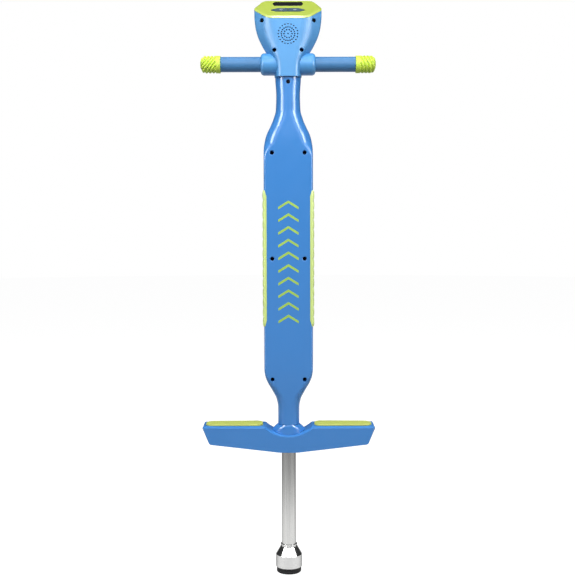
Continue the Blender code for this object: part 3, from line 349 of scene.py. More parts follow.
def finished(name, made, looks, node=None, body="frame", sharp=32):
    """Name a piece, shade it, dress it and put it on its body, in place of its CAD node."""
    piece = add_piece(name, made) if isinstance(made, bpy.types.Mesh) else made
    piece.name = piece.data.name = name
    piece.data.materials.clear()
    for look in looks if isinstance(looks, tuple) else (looks,):
        piece.data.materials.append(look)
    piece.data.shade_smooth()
    piece.data.set_sharp_from_angle(angle=radians(sharp))
    piece.modifiers.new("normals", "WEIGHTED_NORMAL").keep_sharp = True
    applied(piece)
    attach(piece, body)
    if node:
        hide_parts(node)
    return piece


def box(low, high, turn=None):
    """A box between two corners."""
    work = bmesh.new()
    bmesh.ops.create_cube(work, size=1)
    low, high = Vector(low), Vector(high)
    bmesh.ops.scale(work, vec=high - low, verts=work.verts)
    bmesh.ops.translate(work, vec=(low + high) / 2, verts=work.verts)
    if turn is not None:
        bmesh.ops.transform(work, matrix=turn, verts=work.verts)
    return mesh_from(work)


def skinned(rings, capped=False, closed=False):
    """Faces between successive rings of points; a ring of one point is a pole."""
    work = bmesh.new()
    rows = [[work.verts.new(point) for point in ring] for ring in rings]
    for first, second in list(zip(rows, rows[1:])) + [(rows[-1], rows[0])] * closed:
        sides = max(len(first), len(second))
        for k in range(sides):
            m = (k + 1) % sides
            corners = dict.fromkeys((first[k % len(first)], first[m % len(first)],
                                     second[m % len(second)], second[k % len(second)]))
            if len(corners) > 2:
                work.faces.new(tuple(corners))
    if capped:
        work.faces.new(rows[0])
        work.faces.new(rows[-1])
    return mesh_from(work)


def loft(rings):
    """A solid through successive closed rings, with flat ends."""
    return skinned(rings, capped=True)


def raised(outline, height):
    """An XY outline at a height."""
    return [Vector((point[0], point[1], height)) for point in outline]


def upright(outline, depth):
    """An XZ outline at a depth."""
    return [Vector((point[0], depth, point[1])) for point in outline]


def around(count, start=0):
    """Even angles round a circle."""
    return [2 * pi * (k + start) / count for k in range(count)]


def circle(radius, height, sides):
    """A ring of points about Z, or the point on it."""
    if radius < 1e-7:
        return [(0, 0, height)]
    return [(radius * cos(a), radius * sin(a), height) for a in around(sides)]


def prism(outline, low, high):
    """An XY outline extruded along Z."""
    return loft([raised(outline, low), raised(outline, high)])


def turned(profile, sides=64, place=None):
    """A solid of revolution about Z from a closed (radius, height) outline.

    An outline that starts and ends on the axis closes itself there.
    """
    rings = [circle(radius, height, sides) for radius, height in profile]
    mesh = skinned(rings, closed=len(rings[0]) > 1 or len(rings[-1]) > 1)
    if place is not None:
        mesh.transform(place)
    return mesh


AXES = {
    "X": lambda a, b: Matrix.Translation((0, a, b)) @ Matrix.Rotation(pi / 2, 4, "Y"),
    "Y": lambda a, b: Matrix.Translation((a, 0, b)) @ Matrix.Rotation(-pi / 2, 4, "X"),
    "Z": lambda a, b: Matrix.Translation((a, b, 0)),
}


def rod(axis, start, end, radius, centre=(0, 0), sides=32):
    """A cylinder along an axis."""
    profile = [(0, start), (radius, start), (radius, end), (0, end)]
    return turned(profile, sides, AXES[axis](*centre))


def swept(centre, first, last, steps):
    """The points of an arc about a centre, from one spoke to another."""
    sweep = first.angle(last)
    return [centre + (first * sin((1 - share) * sweep) + last * sin(share * sweep)) / sin(sweep)
            for share in (k / steps for k in range(steps + 1))]


def rounded(corners, radii, steps):
    """A closed outline whose corners are arcs."""
    points = []
    for i, corner in enumerate(corners):
        corner = Vector(corner)
        back = (Vector(corners[i - 1]) - corner).normalized()
        ahead = (Vector(corners[(i + 1) % len(corners)]) - corner).normalized()
        half = back.angle(ahead) / 2
        reach = radii[i] / tan(half)
        centre = corner + (back + ahead).normalized() * (radii[i] / sin(half))
        points += swept(centre, corner + back * reach - centre,
                        corner + ahead * reach - centre, steps[i])
    return points


def eased(points, radii, steps=4):
    """An open outline with its inner corners rounded; radii has one value for each of them."""
    made = [Vector(points[0])]
    for i, radius in enumerate(radii, start=1):
        corner = Vector(points[i])
        if radius <= 0:
            made.append(corner)
            continue
        back, ahead = Vector(points[i - 1]) - corner, Vector(points[i + 1]) - corner
        half = back.angle(ahead) / 2
        reach = min(radius / tan(half), back.length * 0.49, ahead.length * 0.49)
        back.normalize()
        ahead.normalize()
        centre = corner + (back + ahead).normalized() * (reach * tan(half) / sin(half))
        made += swept(centre, corner + back * reach - centre,
                      corner + ahead * reach - centre, steps)
    made.append(Vector(points[-1]))
    return [(point.x, point.y) for point in made]


def inset(outline, distance):
    """Move an anticlockwise outline inwards; distance is a number or one for each point."""
    moved = []
    count = len(outline)
    for i, point in enumerate(outline):
        before = (point - outline[i - 1]).normalized()
        after = (outline[(i + 1) % count] - point).normalized()
        normal = Vector((-(before.y + after.y), before.x + after.x)).normalized()
        reach = distance if isinstance(distance, float) else distance[i]
        stretch = max(normal.dot(Vector((-after.y, after.x))), 0.5)
        moved.append(point + normal * (reach / stretch))
    return moved


def smooth(table, height):
    """Values of a table at a height, by cubic curves that don't overshoot its rows."""
    rows = sorted(table)
    height = min(max(height, rows[0][0]), rows[-1][0])
    k = max(i for i in range(len(rows) - 1) if rows[i][0] <= height)
    span = rows[k + 1][0] - rows[k][0]
    share = (height - rows[k][0]) / span
    values = []
    for column in range(1, len(rows[0])):
        slopes = [(after[column] - before[column]) / (after[0] - before[0])
                  for before, after in zip(rows, rows[1:])]

        def tangent(i):
            """The slope at a row: level at the ends and wherever the table turns."""
            if i == 0 or i == len(rows) - 1 or slopes[i - 1] * slopes[i] <= 0:
                return 0
            return 2 * slopes[i - 1] * slopes[i] / (slopes[i - 1] + slopes[i])

        values.append((2 * share**3 - 3 * share**2 + 1) * rows[k][column]
                      + (share**3 - 2 * share**2 + share) * span * tangent(k)
                      + (3 * share**2 - 2 * share**3) * rows[k + 1][column]
                      + (share**3 - share**2) * span * tangent(k + 1))
    return values


def steps_between(low, high, size):
    """Evenly spaced values from low to high, about a size apart."""
    count = max(int(round((high - low) / size)), 1)
    return [low + (high - low) * k / count for k in range(count + 1)]


# ---- screws
def cross_screw(name, place, head_r, head_h, shank_r, length):
    """A pan-head screw with a cross recess; its shank runs along the place's +Z."""
    profile = eased([
        (0, length), (shank_r * 0.3, length), (shank_r, length - 0.0015), (shank_r, 0),
        (head_r, 0), (head_r * 0.92, -head_h * 0.6), (head_r * 0.6, -head_h), (0, -head_h)],
        [0, 0, 0, 0.0002, 0.0006, 0.0008], 3)
    screw = add_piece(name, turned(profile, 32))
    arm, width, tilt = head_r * 0.62, head_r * 0.11, 0.4
    for turn in (0, pi / 2):
        spin = Matrix.Rotation(turn + tilt, 4, "Z")
        cut(screw, box((-arm, -width, -head_h - 0.001), (arm, width, -head_h * 0.35), spin))
    screw.data.transform(place)
    finished(name + "_cross", screw, SCREW_BLACK, name)


def casing_screw(name, x, z, seat, tip):
    """A screw in the front of a casing."""
    place = Matrix.Translation((x, seat - GAP, z)) @ Matrix.Rotation(-pi / 2, 4, "X")
    cross_screw(name, place, SCREW_HEAD_R, 0.0022, SCREW_R, tip - seat + GAP)


def posts(shell, screws, start, end, radius, core):
    """Add a post for each screw to a shell, trimmed to a core if there is one."""
    made = together(rod("Y", start, end, radius, (x, z)) for _, x, z, _, _ in screws)
    if core is not None:
        made = taken(shape(add_piece("posts", made), "INTERSECT", core))
    join(shell, made)


def bosses_front(shell, screws, face_y, wall_y, end=-0.0006, core=None):
    """Recessed bosses for the screw heads, with a softened mouth."""
    posts(shell, screws, wall_y, end, BOSS_R, core)
    wells = []
    for _, x, z, seat, _ in screws:
        profile = eased([
            (0, -0.03), (RECESS_R + 0.002, -0.03), (RECESS_R + 0.002, face_y - 0.0005),
            (RECESS_R, face_y + 0.0006), (RECESS_R, seat), (SCREW_CLEAR_R, seat),
            (SCREW_CLEAR_R, 0.001), (0, 0.001)], [0, 0, 0.0009, 0, 0, 0])
        wells.append(turned(profile, 40, AXES["Y"](x, z)))
    cut(shell, together(wells))


def bosses_rear(shell, screws, wall_y, core=None):
    """Bosses with blind holes behind the screws."""
    posts(shell, screws, 0.0006, wall_y, REAR_BOSS_R, core)
    cut(shell, together(rod("Y", -0.001, wall_y - 0.003, SCREW_CLEAR_R, (x, z))
                        for _, x, z, _, _ in screws))


# ---- column
def column_section(height):
    """The rounded rectangle of the column at a height."""
    half_width, half_depth, radius = smooth(COLUMN, height)
    corners = ((half_width, -half_depth), (half_width, half_depth),
               (-half_width, half_depth), (-half_width, -half_depth))
    return rounded(corners, [radius] * 4, [9] * 4)


def column_half(front):
    """One moulded half, with its wall added inwards."""
    sign = -1 if front else 1
    low, high = BODY_Z
    heights = (steps_between(COLUMN_Z[0], low, 0.0024)[:-1] + steps_between(low, high, 0.02)[:-1]
               + steps_between(high, COLUMN_Z[1], 0.0024))
    work = bmesh.new()
    rows = []
    for height in heights[::-1]:
        half_width = smooth(COLUMN, height)[0]
        side = sorted((point for point in column_section(height) if point.y * sign > 0),
                      key=lambda point: (point.x, -point.y * sign if point.x > 0 else 0))
        ring = [Vector((-half_width, sign * GAP / 2))] + side + [Vector((half_width, sign * GAP / 2))]
        rows.append([work.verts.new((point.x, point.y, height)) for point in ring])
    for upper, lower in zip(rows, rows[1:]):
        for i in range(len(upper) - 1):
            corners = (upper[i], lower[i], lower[i + 1], upper[i + 1])
            work.faces.new(corners if front else corners[::-1])
    half = add_piece("half", mesh_from(work, False))
    wall = half.modifiers.new("wall", "SOLIDIFY")
    wall.thickness = WALL
    wall.offset = -1
    wall.use_even_offset = True
    return applied(half)


def column():
    """Both halves of the column casing and their screws."""
    shell = column_half(True)
    bosses_front(shell, COLUMN_SCREWS, -BODY_HALF_DEPTH, -0.0208)
    bosses_front(shell, (NECK_SCREW,), -0.0205, -0.0195, -FRAME_TUBE_R - GAP)
    finished("casing_front", shell, GLOSS_BLUE, "body_front_shell")
    shell = column_half(False)
    bosses_rear(shell, COLUMN_SCREWS, 0.0208)
    finished("casing_rear", shell, GLOSS_BLUE, "body_rear_shell")
    for screw in COLUMN_SCREWS + (NECK_SCREW,):
        casing_screw(*screw)


def pad_path(reach, offset, count=16):
    """Half of a pad's wrap at an offset from the casing: from its front edge to the middle."""
    turn = BODY_EDGE_R + offset
    centre_x, centre_y = BODY_HALF_WIDTH - BODY_EDGE_R, BODY_HALF_DEPTH - BODY_EDGE_R
    start_x = BODY_HALF_WIDTH - reach
    flat = max(centre_x - start_x, 0)
    first = pi / 2 if flat > 0 else acos(min((start_x - centre_x) / turn, 1))
    arc = first * turn
    points = []
    for k in range(count + 1):
        run = (flat + arc + centre_y) * k / count
        if run < flat:
            points.append((start_x + run, -centre_y - turn))
        elif run < flat + arc:
            angle = -first + (run - flat) / turn
            points.append((centre_x + turn * cos(angle), -centre_y + turn * sin(angle)))
        else:
            points.append((centre_x + turn, -centre_y + run - flat - arc))
    return points


def side_pad(name, side, node):
    """A lime trim round one edge of the column, with scallops down its outer face."""
    low, high = PAD_Z
    rows = PAD_SCALLOPS * 12
    tip_reach, taper, round_over = 0.0014, 0.0105, 0.0016
    rings = []
    for k in range(rows + 1):
        height = low + (high - low) * k / rows
        end = min(height - low, high - height)
        reach = tip_reach + (PAD_REACH - tip_reach) * min(end / taper, 1) ** 0.85
        edge = sqrt(max(1 - (1 - min(end / round_over, 1)) ** 2, 0))
        wave = abs(sin(pi * PAD_SCALLOPS * k / rows)) ** 0.7
        outer, inner = [], []
        paths = zip(pad_path(reach, PAD_THICKNESS), pad_path(reach, GAP))
        for i, ((xo, yo), (xi, yi)) in enumerate(paths):
            lift = (0.25 + 0.75 * min(i / 1.5, 1)) * (0.12 + 0.88 * edge)
            x, y = xi + (xo - xi) * lift, yi + (yo - yi) * lift
            flank = min(max((x - BODY_HALF_WIDTH + 0.0012) / 0.0016, 0), 1)
            outer.append((x + PAD_SCALLOP_DEPTH * wave * flank * edge, y))
            inner.append((xi, yi))
        outer += [(x, -y) for x, y in outer[-2::-1]]
        inner += [(x, -y) for x, y in inner[-2::-1]]
        rings.append(raised([(side * x, y) for x, y in outer + inner[::-1]], height))
    finished(name, loft(rings), PAD_LIME, node, sharp=40)


def chevron(middle, half_width, rise, stroke):
    """One upward chevron with square-cut ends, seen from the front, anticlockwise."""
    tall = stroke / cos(atan2(rise, half_width))
    ends = ((0, 1, 1), (-half_width, -1, 1), (-half_width, -1, -1),
            (0, 1, -1), (half_width, -1, -1), (half_width, -1, 1))
    return [(x, middle + up * rise / 2 + edge * tall / 2) for x, up, edge in ends]


def front_graphic():
    """A plain printed row of chevrons down the front face."""
    top_z, pitch, count, ink = 0.618, 0.0208, 10, 0.00008
    marks = []
    for k in range(count):
        outline = rounded(chevron(top_z - pitch * k, 0.0168, 0.0105, 0.0036), [0.0006] * 6, [3] * 6)
        marks.append(loft([upright(outline, y)
                           for y in (-BODY_HALF_DEPTH - ink, -BODY_HALF_DEPTH + 0.0001)]))
    finished("front_graphic", together(marks), PRINT)


# ---- head
def head_section(height, margin=0):
    """The rounded hexagon of the head at a height, moved inwards by a margin."""
    side, front, rear, front_r = smooth(HEAD, height)
    depth = HEAD_HALF_DEPTH
    scale = side / HEAD[-1][1]
    side_r, rear_r = 0.007 * scale, 0.016 * scale
    peak = side + side_r * (sqrt(1 + ((side - front) / depth)**2) - 1)
    corners = ((front, -depth), (peak, 0), (rear, depth),
               (-rear, depth), (-peak, 0), (-front, -depth))
    outline = rounded(corners, [front_r, side_r, rear_r, rear_r, side_r, front_r],
                      [9, 6, 8, 8, 6, 9])
    return inset(outline, margin) if margin else outline


def head_block(low, high, margin, size=0.002):
    """The head's outer or inner shape."""
    return loft([raised(head_section(height, margin), height)
                 for height in steps_between(low, HEAD_STRAIGHT_Z, size) + [high]])


def hub_block():
    """Both hubs as one bar with rounded ends."""
    edge, sides = 0.0062, 56
    arc = [(HUB_R - edge + edge * cos(a), HUB_X - edge + edge * sin(a))
           for a in (radians(10 * step) for step in range(9))]
    rings = []
    for across, along in [(r, -x) for r, x in arc[::-1]] + arc:
        rings.append([Vector((along, across * cos(a), BAR_Z + across * sin(a)))
                      for a in around(sides, 0.5)])
    return loft(rings)


def head_casing():
    """The whole hollow head casing, before it is parted."""
    low, hub_end = HEAD[0][0], HUB_X - 0.0045
    casing = add_piece("casing", head_block(low, HEAD_TOP_Z, 0))
    join(casing, hub_block())
    cavity = add_piece("cavity", head_block(low + HEAD_FLOOR, 0.98, WALL, 0.0035))
    join(cavity, rod("X", -hub_end, hub_end, HUB_R - WALL, (0, BAR_Z), 40))
    slab = box((-FAR, -FAR, -BEZEL_LIP - GAP), (FAR, FAR, FAR), BEZEL_FRAME)
    return cut(casing, taken(cavity), slab,
               rod("X", -0.06, 0.06, SLEEVE_R + GAP, (0, BAR_Z), 48),
               rod("Z", 0.8, 0.84, FRAME_TUBE_R + GAP, (0, 0), 48))


def grille():
    """The sound holes: one in the middle and three rings."""
    holes = [(0, 0)]
    for radius, count in ((0.0065, 10), (0.0109, 20), (0.0158, 20)):
        holes += [point[:2] for point in circle(radius, 0, count)]
    return together(rod("Y", -0.03, -0.018, 0.0012, (x, GRILLE_Z + z), 14) for x, z in holes)


def head():
    """Both halves of the head, with the sound holes and the battery opening."""
    core = head_block(HEAD[0][0] + 0.001, HEAD_TOP_Z, WALL / 2, 0.004)
    shell = head_casing()
    whole = shell.data.copy()
    cut(shell, box((-FAR, -GAP / 2, 0.8), (FAR, FAR, 1)))
    bosses_front(shell, HEAD_SCREWS, -HEAD_HALF_DEPTH, -0.025, core=core.copy())
    cut(shell, grille())
    finished("head_front", shell, HEAD_GLOSS, "head_front_shell")
    shell = add_piece("rear", whole)
    cut(shell, box((-FAR, -FAR, 0.8), (FAR, GAP / 2, 1)))
    bosses_rear(shell, HEAD_SCREWS, 0.025, core=core)
    low, high = DOOR_Z
    cut(shell, box((-DOOR_HALF_WIDTH - GAP, 0.0215, low - GAP),
                   (DOOR_HALF_WIDTH + GAP, 0.03, high + GAP)))
    finished("head_rear", shell, HEAD_GLOSS, "head_rear_shell")
    for screw in HEAD_SCREWS:
        casing_screw(*screw)


def bezel_outline(level, margin=0):
    """The head's outline seen square to the sloped face, at a level."""
    slip = level * tan(BEZEL_TILT)
    return [Vector((point.x, point.y / cos(BEZEL_TILT) + slip))
            for point in head_section(HEAD[-1][0], margin)]


def key_strip(margin):
    """The outline of both keys together, moved outwards by a margin."""
    corners = ((-0.019 - margin, KEY_LOW - margin), (0.019 + margin, KEY_LOW - margin),
               (KEY_REACH + 1.6 * margin, KEY_MIDDLE), (0.0172 + margin, KEY_HIGH + margin),
               (-0.0172 - margin, KEY_HIGH + margin), (-KEY_REACH - 1.6 * margin, KEY_MIDDLE))
    return rounded(corners, [0.001] * 6, [4] * 6)


def bezel():
    """The lime frame on the sloped top: a thin lip over a plug that fits inside the walls."""
    front_y, rear_chamfer = 0.012, 0.0006
    rings = []
    for level, share in ((-BEZEL_LIP, 0), (-0.00105, 0), (-0.0009, 0.04),
                         (-0.00005, 0.92), (0, 1)):
        outline = bezel_outline(level)
        if share:
            outline = inset(outline, [(BEZEL_CHAMFER if point.y < front_y else rear_chamfer) * share
                                      for point in outline])
        rings.append(raised(outline, level))
    piece = add_piece("bezel", loft(rings))
    join(piece, loft([raised(bezel_outline(level, WALL + 0.0008), level)
                      for level in (-BEZEL_THICKNESS, -BEZEL_LIP + 0.0003)]))
    pane = rounded(WINDOW_CORNERS, [0.0015] * 6, [4] * 6)
    narrower = inset([Vector(corner) for corner in WINDOW_CORNERS], 0.0016)
    opening = rounded(narrower, [0.0006] * 6, [3] * 6)
    cut(piece, prism(inset(pane, -GAP), -0.0022, 0.01), prism(opening, -0.01, 0.01),
        prism(key_strip(0.0004), -0.01, 0.01))
    soften(piece, 0.00025, 2, 40)
    piece.data.transform(BEZEL_FRAME)
    finished("bezel", piece, LIME_GLOSS, "top_bezel")

    plate = add_piece("window", prism(pane, -0.0019, -0.0001))
    soften(plate, 0.0002, 2)
    plate.data.transform(BEZEL_FRAME)
    finished("window", plate, WINDOW, "display_window")


def key(name, side, node, body):
    """One key with a soft edge, its flange and its stem, and a raised plain mark."""
    def half(margin):
        """The right-hand key's outline."""
        inner = 0.0004
        corners = ((inner, KEY_LOW - margin), (0.0188 + margin, KEY_LOW - margin),
                   (KEY_REACH - 0.0008 + 1.6 * margin, KEY_MIDDLE),
                   (0.017 + margin, KEY_HIGH + margin), (inner, KEY_HIGH + margin))
        return rounded(corners, [0.0006] * 5, [3] * 5)

    cap = add_piece(name, prism(half(0), -0.004, 0.0008))
    soften(cap, 0.00035, 3)
    join(cap, prism(half(0.001), -0.0046, -BEZEL_THICKNESS - GAP),
         rod("Z", -0.0086, -0.004, 0.002, (KEY_STEM_X, KEY_MIDDLE), 24))
    if side < 0:
        cap.data.transform(Matrix.Scale(-1, 4, (1, 0, 0)))
        cap.data.flip_normals()
    cap.data.transform(BEZEL_FRAME)
    finished(name, cap, KEY, node, body)

    middle = Vector((side * 0.0112, KEY_MIDDLE))
    mark_z = (0.00075, 0.00095)
    if side < 0:
        ring = [Vector((middle.x + 0.0024 * cos(a), middle.y + 0.0017 * sin(a)))
                for a in around(32)]
        piece = add_piece("mark", prism(ring, *mark_z))
        marks = [taken(cut(piece, prism(inset(ring, 0.0006), 0, 0.002)))]
    else:
        marks = []
        for shift in (-0.0016, 0, 0.0016):
            bar = rounded([(middle.x + shift + across * 0.0004, middle.y + up * 0.0016)
                           for across, up in ((-1, -1), (1, -1), (1, 1), (-1, 1))],
                          [0.0002] * 4, [2] * 4)
            marks.append(prism(bar, *mark_z))
    mark = add_piece("mark", together(marks))
    mark.data.transform(BEZEL_FRAME)
    finished(name + "_mark", mark, MARK, body=body)


def battery_door():
    """The flush cover behind the head, with finger ribs, and its screw."""
    low, high = DOOR_Z
    back = HEAD_HALF_DEPTH
    door = add_piece("door", box((-DOOR_HALF_WIDTH, back - WALL, low), (DOOR_HALF_WIDTH, back, high)))
    cut(door, together(box((-0.009, back - 0.0006, low + 0.007 + 0.003 * k),
                           (0.009, back + 0.001, low + 0.0082 + 0.003 * k)) for k in range(4)))
    cut(door, rod("Y", back - 0.0012, 0.03, 0.0032, (0, DOOR_SCREW_Z)),
        rod("Y", 0.02, 0.03, SCREW_CLEAR_R, (0, DOOR_SCREW_Z)))
    soften(door, 0.0003, 2, 50)
    finished("door", door, HEAD_GLOSS, "battery_door")
    place = Matrix.Translation((0, back - 0.0009, DOOR_SCREW_Z)) @ Matrix.Rotation(pi / 2, 4, "X")
    cross_screw("battery_door_screw", place, 0.0028, 0.0008, 0.0011, 0.008)


# ---- handlebar
def sideways(side):
    """Turn a piece made along +Z to lie along the bar."""
    return Matrix.Translation((0, 0, BAR_Z)) @ Matrix.Rotation(side * pi / 2, 4, "Y")


def sleeve(name, side, node):
    """The satin sleeve on one side of the bar, with eased ends."""
    low, high = SLEEVE_X
    bore, ease = BAR_TUBE_R + GAP, 0.0005
    profile = [(SLEEVE_R, low + ease), (SLEEVE_R, high - ease),
               (SLEEVE_R - ease * 0.3, high - ease * 0.3), (SLEEVE_R - ease, high),
               (bore, high), (bore, low), (SLEEVE_R - ease, low)]
    finished(name, turned(profile, 72, sideways(side)), SLEEVE, node)


def grip(name, side, node):
    """A lime grip end: a plain ring, then slanted ribs that run out over its domed end."""
    low, high = GRIP_X
    sides, dome = 192, 0.0095
    ring_end, rib_pitch, depth = low + 0.0068, 0.0058, 0.0025
    rise, tip_r, fade_r = 0.0014, 0.0035, 0.006
    slant, twist = (0.0105, 0) if side < 0 else (0.0062, radians(-36))
    stations = [(GRIP_R - 0.0007, low), (GRIP_R - 0.0002, low + 0.0003), (GRIP_R, low + 0.0008)]
    stations += [(GRIP_R, x) for x in steps_between(low + 0.0016, high - dome, 0.0004)]
    turns = [asin((0.05 * k) ** 1.25) for k in range(1, 17)]
    turns += [turns[-1] + (pi / 2 - turns[-1]) * k / 14 for k in range(1, 14)]
    stations += [(GRIP_R * cos(turn) ** 0.72, high - dome + dome * sin(turn) ** 0.8)
                 for turn in turns]
    rings = []
    for radius, along in stations:
        ramp = min(max((along - ring_end) / rise, 0), 1)
        fade = min(max((radius - tip_r) / fade_r, 0), 1)
        ring = []
        for angle in around(sides):
            lean = slant * sin(angle - side * pi / 2 + twist)
            groove = (0.5 - 0.5 * cos(2 * pi * (along - ring_end + lean) / rib_pitch)) ** 1.6
            r = radius - depth * ramp * fade * groove
            ring.append((r * cos(angle), r * sin(angle), along))
        rings.append(ring)
    bore, bore_end = BAR_TUBE_R + GAP, BAR_TUBE_HALF + GAP
    mesh = skinned([circle(0, high, sides)] + rings[::-1] + [
        circle(bore, low, sides), circle(bore, bore_end, sides), circle(0, bore_end, sides)])
    if side > 0:
        mesh.transform(Matrix.Scale(-1, 4, (0, 1, 0)))
        mesh.flip_normals()
    mesh.transform(sideways(side))
    finished(name, mesh, LIME_RUBBER, node, sharp=45)


# ---- footrest
def dip_outline(margin):
    """The dip in the footrest's top, from right to left: a hollow arc between two fillets."""
    arc_z = DIP_BOTTOM_Z + DIP_R
    hollow_r, fillet_r, top = DIP_R + margin, DIP_FILLET - margin, REST_TOP_Z - margin
    drop = arc_z - top + fillet_r
    fillet_x = sqrt((hollow_r + fillet_r)**2 - drop**2)
    lean = acos(drop / (hollow_r + fillet_r))
    bends, turns = 8, 36
    right = [Vector((fillet_x - fillet_r * sin(a), top - fillet_r * (1 - cos(a))))
             for a in (lean * k / bends for k in range(bends + 1))]
    hollow = [Vector((hollow_r * sin(a), arc_z - hollow_r * cos(a)))
              for a in (lean * (1 - 2 * k / turns) for k in range(1, turns))]
    return right + hollow + [Vector((-point.x, point.y)) for point in right[::-1]]


def rest_outline(right, radii, steps, margin):
    """The footrest seen from the front, anticlockwise: the right corners, the dip, the left."""
    corners = right + tuple((-x, z) for x, z in right[::-1])
    outline = rounded(corners, radii + radii[::-1], steps + steps[::-1])
    top_right = sum(steps) + len(steps)
    return outline[:top_right] + dip_outline(margin) + outline[top_right:]


def rest_block(outline, half_depth, chamfer, eased_edges):
    """The footrest's outer or inner shape: chamfered along the top, square along the bottom."""
    low, high = 0.225, 0.245

    def reach(point):
        share = min(max((point.y - low) / (high - low), 0), 1)
        near_end = min(max((abs(point.x) - 0.13) / 0.01, 0), 1)
        in_dip = min(max((0.047 - abs(point.x)) / 0.006, 0), 1)
        widest = chamfer * (1 - 0.58 * near_end - 0.45 * in_dip)
        return REST_DRAFT + (widest - REST_DRAFT) * share * share * (3 - 2 * share)

    levels = ((0, 1.06), (0.03, 0.99), (0.1, 0.89), (0.9, 0.11), (0.97, 0.045), (1.08, 0))
    front = []
    for along, share in levels if eased_edges else ((0, 1), (1, 0)):
        loop = inset(outline, [reach(point) * share for point in outline]) if share else outline
        front.append((half_depth - chamfer * along, loop))
    return loft([upright(loop, -y) for y, loop in front]
                + [upright(loop, y) for y, loop in front[::-1]])


def base_height(x):
    """Height of the footrest's lower edge at a distance from the middle."""
    slope = (REST_FOOT_Z - REST_LOW_Z) / (REST_FOOT_X - REST_FLAT_X)
    return REST_LOW_Z + max(abs(x) - REST_FLAT_X, 0) * slope


def footrest():
    """The moulded footrest, the cover that closes it from below, and its screws."""
    right = ((REST_FLAT_X, REST_LOW_Z), (REST_FOOT_X, REST_FOOT_Z), (REST_HALF_LENGTH, REST_TOP_Z))
    outer = rest_outline(right, [0.06, 0.006, 0.0035], [8, 8, 8], 0)
    right = ((REST_FOOT_X - 0.006, 0.19), (REST_FOOT_X - 0.006, REST_FOOT_Z + 0.003),
             (REST_HALF_LENGTH - 0.0036, REST_TOP_Z - REST_WALL))
    inner = rest_outline(right, [0.001, 0.004, 0.005], [2, 4, 5], REST_WALL)

    def columns(low, high, radius):
        """An upright rod at each screw."""
        return together(rod("Z", low, high, radius, (x, 0)) for x in REST_SCREW_X)

    shell = add_piece("rest", rest_block(outer, REST_HALF_DEPTH, REST_CHAMFER, True))
    cut(shell, rest_block(inner, REST_HALF_DEPTH - 0.0035, 0.0037, False),
        rod("Z", 0.19, 0.27, FRAME_TUBE_R + GAP, (0, 0), 48))
    join(shell, columns(0.229, REST_TOP_Z - 0.001, 0.0045))
    cut(shell, columns(0.22, 0.244, SCREW_CLEAR_R))
    finished("rest_shell", shell, GLOSS_BLUE, "footrest_shell")

    depth, end = REST_HALF_DEPTH - 0.004, REST_FOOT_X - 0.0085
    xs = (-end, -REST_FLAT_X, REST_FLAT_X, end)
    cover_low, cover_high = 0.001, 0.0032
    lower = [(x, base_height(x) + cover_low) for x in xs]
    upper = [(x, base_height(x) + cover_high) for x in reversed(xs)]
    base = add_piece("base", loft([upright(lower + upper, y) for y in (-depth, depth)]))
    cut(base, rod("Z", 0.19, 0.24, FRAME_TUBE_R + GAP, (0, 0), 64))
    cut(base, columns(0.19, 0.24, SCREW_CLEAR_R))
    soften(base, 0.0004, 2, 50)
    finished("rest_cover", base, GLOSS_BLUE, "footrest_base")
    for number, x in enumerate(REST_SCREW_X, start=1):
        seat = base_height(x) + cover_low - GAP - 0.0005
        cross_screw("footrest_screw_%d" % number, Matrix.Translation((x, 0, seat)),
                    SCREW_HEAD_R, 0.0018, SCREW_R, 0.015)


def tread(name, side, node):
    """The lime tread on one half of the footrest, crowned and rounded along its top."""
    low, high = TREAD_X
    depth, edge = TREAD_HALF_DEPTH, 0.0014
    corners = ((low, -depth), (high, -depth), (high, depth - 0.003), (low, depth))
    outline = rounded(corners, [0.011, 0.013, 0.014, 0.012], [12, 14, 14, 12])
    bottom, top = REST_TOP_Z + GAP, REST_TOP_Z + TREAD_THICKNESS
    levels = [(bottom, 0), (top - edge, 0)]
    levels += [(top - edge + 0.0013 * sin(pi / 2 * k / 6), edge * (1 - cos(pi / 2 * k / 6)))
               for k in range(1, 7)]
    rings = []
    for height, margin in levels + [(top, 0.0042)]:
        loop = inset(outline, margin) if margin else outline
        rings.append(raised([(side * p.x, p.y) for p in loop], height))
    finished(name, loft(rings), TREAD, node)


def collar():
    """The flared collar between the column and the footrest's dip."""
    levels = ((0.2535, 0.0182, 0.019), (0.2528, 0.0186, 0.0192), (0.2515, 0.0201, 0.0198),
              (0.2503, 0.0216, 0.0201), (0.249, 0.0231, 0.0204), (0.2473, 0.0248, 0.0205),
              (0.2455, 0.0263, 0.0206), (0.24, 0.0288, 0.0206), (0.234, 0.03, 0.0206))
    rings = [[Vector((half_width * cos(a), half_depth * sin(a), height))
              for a in around(72)]
             for height, half_width, half_depth in levels]
    piece = add_piece("collar", loft(rings))
    shape(piece, "INTERSECT", rod("Y", -0.05, 0.05, DIP_R - GAP, (0, DIP_BOTTOM_Z + DIP_R), 240))
    cut(piece, rod("Z", 0.22, 0.27, FRAME_TUBE_R + GAP, (0, 0), 48))
    finished("collar", piece, GLOSS_BLUE, "column_collar")


